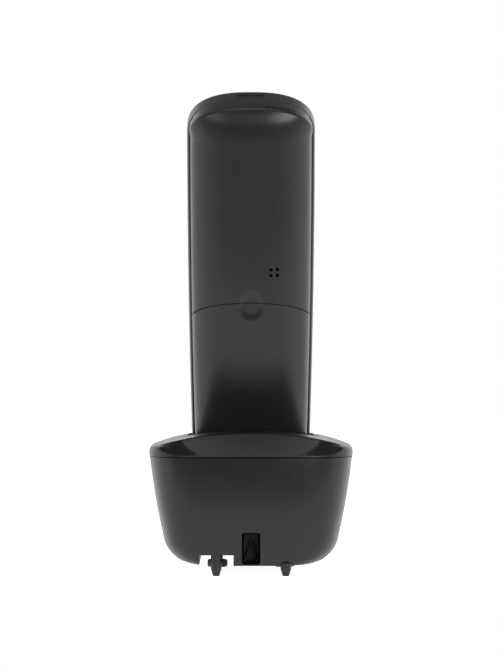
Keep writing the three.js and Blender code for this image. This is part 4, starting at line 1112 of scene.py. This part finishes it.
class PhoneSettings(bpy.types.PropertyGroup):
    """Sizes, colours and finish of the phone."""

    case_colour: bpy.props.FloatVectorProperty(
        name="Case colour", description="Colour of the handset's moulded cases", subtype="COLOR",
        size=4, min=0.0, max=1.0, default=linear("#202021"))
    base_colour: bpy.props.FloatVectorProperty(
        name="Base colour", description="Colour of the base's moulded covers", subtype="COLOR",
        size=4, min=0.0, max=1.0, default=linear("#111112"))
    key_colour: bpy.props.FloatVectorProperty(
        name="Key colour", description="Colour of the plain keys", subtype="COLOR",
        size=4, min=0.0, max=1.0, default=linear("#29292b"))
    lens_colour: bpy.props.FloatVectorProperty(
        name="Lens colour", description="Colour of the smoked light bar", subtype="COLOR",
        size=4, min=0.0, max=1.0, default=linear("#1b1718"))
    case_roughness: bpy.props.FloatProperty(
        name="Case roughness", description="Roughness of the satin moulded skin", subtype="FACTOR",
        min=0.05, max=1.0, default=0.32)
    floor_radius: bpy.props.FloatProperty(
        name="Floor radius", description="Radius of the floor that the phone stands on", unit="LENGTH",
        min=0.3, default=0.9)
    camera_distance: bpy.props.FloatProperty(
        name="Camera distance", description="From the camera to the middle of the phone", unit="LENGTH",
        min=0.3, default=1.1234)
    camera_height: bpy.props.FloatProperty(
        name="Camera height", description="Height of the camera over the floor", unit="LENGTH",
        default=0.0922)
    camera_lens: bpy.props.FloatProperty(
        name="Camera lens", description="Focal length on a 36 mm sensor", unit="CAMERA",
        min=20.0, default=155.03)


# ---- operators ------------------------------------------------------------------------------


class PHONE_OT_handset_cases(bpy.types.Operator):
    """Builds the handset's front case, rear case and battery cover."""

    bl_idname = "phone.handset_cases"
    bl_label = "Handset Cases"

    def execute(self, context):
        plastic = finish("moulded ABS case")
        dressed(make_front_case(), plastic, "handset", ["handset_front_case"])
        dressed(make_rear_case(), plastic, "handset", ["handset_rear_case"])
        dressed(make_battery_cover(), plastic, "battery_cover", ["battery_cover"])
        return {"FINISHED"}


class PHONE_OT_display(bpy.types.Operator):
    """Builds the display window and its printed border."""

    bl_idname = "phone.display"
    bl_label = "Display"

    def execute(self, context):
        levels = [(-0.2, -1.4), (0, -1.2), (0, -0.25), (-0.08, -0.08), (-0.3, 0.0)]
        window = object_of("clear_window", pad(38, 33, 2.8, levels, on_keypad(0, DISPLAY_U)))
        dressed(window, finish("polished acrylic window"), "handset", ["display_window"])
        border = object_of("window_border", pad(37, 32, 2.4, [(0, -1.62), (0, -1.5)], on_keypad(0, DISPLAY_U)))
        joined_by(border, [object_of("tool", pad(31, 23, 1.0, [(0, -3), (0, 1)], on_keypad(0, DISPLAY_U + 1.5)))])
        dressed(border, finish("black printed border"), "handset", ())
        return {"FINISHED"}


class PHONE_OT_keys(bpy.types.Operator):
    """Builds the digit keys with their legends, the four function keys and the rocker."""

    bl_idname = "phone.keys"
    bl_label = "Keys"

    def execute(self, context):
        ink = finish("pad-printed legend")
        for name, mark, x, u in digit_keys():
            cap = key_cap(name.replace("key_", "cap_"), 12, 7.4, x, u)
            dressed(cap, finish("moulded ABS keys"), name, [name])
            add_mark(cap, mark, 5.2 if mark != "*" else 8.0, on_keypad(x, u - (1.1 if mark == "*" else 0)), ink)
        for name, width, height, x, u, plastic, slot in function_keys():
            cap = key_cap(name.replace("key_", "cap_"), width, height, x, u)
            dressed(cap, finish(plastic), name, [name])
            join_mesh(cap, mesh_of("mark", pad(4.2, 0.9, 0.44, [(0, MARK_LEVEL - 0.05), (0, MARK_LEVEL + 0.04)],
                                               on_keypad(x, u))), ink)
        rocker = dressed(make_rocker(), finish("moulded ABS keys"), "key_rocker", ["key_rocker"])
        for side in (-1, 1):
            mark = pad(3.4, 0.8, 0.39, [(0, 0.3), (0, 0.66)], on_keypad(0, ROCKER_U + side * 6.4))
            join_mesh(rocker, mesh_of("mark", mark), ink)
        return {"FINISHED"}


class PHONE_OT_light_bar(bpy.types.Operator):
    """Builds the smoked light bar in the front of the handset's top end."""

    bl_idname = "phone.light_bar"
    bl_label = "Light Bar"

    def execute(self, context):
        top = LENGTH + LIGHT_PROUD
        low = LENGTH - LIGHT_DEPTH
        levels = [(-0.3, low), (0, low + 0.3), (0, top - 0.4), (-0.12, top - 0.12), (-0.4, top)]
        bar = object_of("smoked_bar", pad(LIGHT_WIDTH, LIGHT_BACK - LIGHT_FRONT, 0.6, levels,
                                          along_handset((LIGHT_BACK + LIGHT_FRONT) / 2)))
        dressed(bar, finish("smoked acrylic lens"), "handset", ["ringer_light_bar"])
        return {"FINISHED"}


class PHONE_OT_base_covers(bpy.types.Operator):
    """Builds the base's top cover with its cup, and its lower housing."""

    bl_idname = "phone.base_covers"
    bl_label = "Base Covers"

    def execute(self, context):
        plastic = finish("moulded ABS base")
        dressed(make_top_cover(), plastic, "base", ["base_top_cover"])
        dressed(make_lower_housing(), plastic, "base", ["base_lower_housing"])
        return {"FINISHED"}


class PHONE_OT_base_fittings(bpy.types.Operator):
    """Builds the rubber boots, the lead socket, the paging button and the status light."""

    bl_idname = "phone.base_fittings"
    bl_label = "Base Fittings"

    def execute(self, context):
        for side, x in (("left", -LEG_X), ("right", LEG_X)):
            dressed(make_boot(f"rubber_boot_{side}", x), finish("moulded rubber boot"), "base",
                    [f"rubber_foot_{side}"])
        dressed(make_socket(), finish("moulded ABS socket"), "base", ["lead_socket"])
        dressed(make_page_button(), finish("moulded ABS keys"), "page_button", ["page_button"])
        lamp = turned_solid([(0, -3.6), (1.6, -3.6), (1.6, 0), (1.5, 0.15), (1.1, 0.28), (0.5, 0.34), (0, 0.35)],
                            on_front_slope(LIGHT_X), 36)
        dressed(object_of("status_lamp", lamp), finish("smoked acrylic lens"), "base", ["status_light"])
        return {"FINISHED"}


class PHONE_OT_inner_parts(bpy.types.Operator):
    """Winds the battery springs and gives the inner nodes their finishes."""

    bl_idname = "phone.inner_parts"
    bl_label = "Inner Parts"

    def execute(self, context):
        for side, name, up in ((-1, "left", 1), (1, "right", -1)):
            spring = make_coil_spring(f"coil_{name}", side, up)
            dressed(spring, finish("nickel-plated spring steel"), "handset", [f"battery_spring_{name}"])
        for node, name in INNER_FINISHES.items():
            material = finish(name)
            for slot in frame["nodes"][node].material_slots:
                slot.material = material
        return {"FINISHED"}


class PHONE_OT_stage(bpy.types.Operator):
    """Sets the floor, the light and the camera."""

    bl_idname = "phone.stage"
    bl_label = "Stage"

    def execute(self, context):
        scene = context.scene
        settings = scene.phone
        around = np.linspace(0, 2 * math.pi, 96, endpoint=False)
        rows = np.array([0.0, 0.2, 1.0])[:, None] * settings.floor_radius
        middle = FLOOR_BACK_EDGE - settings.floor_radius
        grid = np.stack([rows * np.cos(around), middle + rows * np.sin(around), np.zeros((3, 96))], axis=-1)
        floor = bpy.data.objects.new("floor", mesh_of("floor", grid))
        scene.collection.objects.link(floor)
        floor.data.materials.append(white_floor())
        lit_world(scene)
        soft_light("overhead_light", (0.0, 0.2, 1.2), 0.6, OVERHEAD_POWER)
        soft_light("right_light", (-0.36, 0.8, 0.26), 0.4, RIGHT_POWER)
        soft_light("left_light", (0.4, 0.8, 0.26), 0.4, LEFT_POWER)
        camera_data = bpy.data.cameras.new("camera")
        camera_data.lens = settings.camera_lens
        camera_data.sensor_width = 36.0
        camera_data.clip_start, camera_data.clip_end = 0.05, 50.0
        camera = bpy.data.objects.new("camera", camera_data)
        camera.location = (0, settings.camera_distance, settings.camera_height)
        camera.rotation_euler = (math.pi / 2, 0, math.pi)
        scene.collection.objects.link(camera)
        scene.camera = camera
        scene.view_settings.view_transform = "Standard"
        scene.view_settings.look = "None"
        return {"FINISHED"}


def white_floor():
    """Matt white paper that glows a little, so that it stays pale under the phone."""
    material, tree, shader = new_material("matt white paper", Roughness=0.9)
    shader.inputs["Emission Strength"].default_value = 0.9
    shader.inputs["Emission Color"].default_value = (1.0, 1.0, 1.0, 1.0)
    fibre = object_noise(tree, 3.0)
    tint = add_node(tree, "ShaderNodeMix", {"Factor": fibre.outputs["Fac"]}, data_type="RGBA")
    tint.inputs["A"].default_value = linear("#f0f0f0")
    tint.inputs["B"].default_value = linear("#fafafa")
    tree.links.new(tint.outputs["Result"], shader.inputs["Base Color"])
    return material


def lit_world(scene):
    """Soft white surroundings: brightest behind the keypad side and dimmer towards the back
    and overhead; the surroundings themselves look plain white."""
    world = bpy.data.worlds.new("soft surroundings")
    scene.world = world
    world.use_nodes = True
    tree = world.node_tree
    direction = add_node(tree, "ShaderNodeTexCoord").outputs["Generated"]
    parts = add_node(tree, "ShaderNodeSeparateXYZ", {"Vector": direction})
    towards_back = add_node(tree, "ShaderNodeMapRange", {
        "Value": parts.outputs["Y"], "From Min": BRIGHT_SIDE, "From Max": DIM_SIDE,
        "To Min": 1.0, "To Max": DIM_LEVEL,
    }, interpolation_type="SMOOTHSTEP")
    overhead = add_node(tree, "ShaderNodeMapRange", {
        "Value": parts.outputs["Z"], "From Min": LOW_BAND, "From Max": HIGH_BAND,
        "To Min": 1.35, "To Max": HIGH_LEVEL,
    }, interpolation_type="SMOOTHSTEP")
    strength = add_node(tree, "ShaderNodeMath", {0: towards_back.outputs["Result"],
                                                 1: overhead.outputs["Result"]}, operation="MULTIPLY")
    glow = tree.nodes["Background"]
    tree.links.new(strength.outputs["Value"], glow.inputs["Strength"])
    plain = add_node(tree, "ShaderNodeBackground", {"Strength": 1.0})
    glow.inputs["Color"].default_value = (1.0, 1.0, 1.0, 1.0)
    plain.inputs["Color"].default_value = (1.0, 1.0, 1.0, 1.0)
    seen = add_node(tree, "ShaderNodeLightPath").outputs["Is Camera Ray"]
    mixed = add_node(tree, "ShaderNodeMixShader", {0: seen, 1: glow.outputs["Background"],
                                                   2: plain.outputs["Background"]})
    tree.links.new(mixed.outputs["Shader"], tree.nodes["World Output"].inputs["Surface"])


def soft_light(name, place, size, power):
    """A square soft box, aimed at the middle of the phone."""
    lamp = bpy.data.lights.new(name, "AREA")
    lamp.size = size
    lamp.energy = power
    box = bpy.data.objects.new(name, lamp)
    box.location = place
    aim = AIM_AT - np.array(place)
    box.rotation_euler = bpy_direction(aim)
    box.visible_camera = False
    bpy.context.scene.collection.objects.link(box)


def bpy_direction(aim):
    """The rotation that points a light along a direction."""
    flat = math.hypot(aim[0], aim[1])
    return (math.atan2(flat, -aim[2]), 0.0, math.atan2(-aim[0], aim[1]))


# ---- panel and registration -----------------------------------------------------------------


OPERATORS = [PHONE_OT_handset_cases, PHONE_OT_display, PHONE_OT_keys, PHONE_OT_light_bar,
             PHONE_OT_base_covers, PHONE_OT_base_fittings, PHONE_OT_inner_parts, PHONE_OT_stage]


class PHONE_PT_sidebar(bpy.types.Panel):
    """Lists the phone's sizes, colours and pieces."""

    bl_idname = "PHONE_PT_sidebar"
    bl_label = "Cordless Phone"
    bl_space_type = "VIEW_3D"
    bl_region_type = "UI"
    bl_category = "Phone"

    def draw(self, context):
        for name in PhoneSettings.__annotations__:
            self.layout.prop(context.scene.phone, name)
        for operator in OPERATORS:
            self.layout.operator(operator.bl_idname)


CLASSES = [PhoneSettings, *OPERATORS, PHONE_PT_sidebar]


def register():
    for cls in CLASSES:
        bpy.utils.register_class(cls)
    bpy.types.Scene.phone = bpy.props.PointerProperty(type=PhoneSettings)


def unregister():
    del bpy.types.Scene.phone
    for cls in reversed(CLASSES):
        bpy.utils.unregister_class(cls)


def main():
    register()
    bpy.ops.phone.handset_cases()
    bpy.ops.phone.display()
    bpy.ops.phone.keys()
    bpy.ops.phone.light_bar()
    bpy.ops.phone.base_covers()
    bpy.ops.phone.base_fittings()
    bpy.ops.phone.inner_parts()
    bpy.ops.phone.stage()


if __name__ == "__main__":
    main()
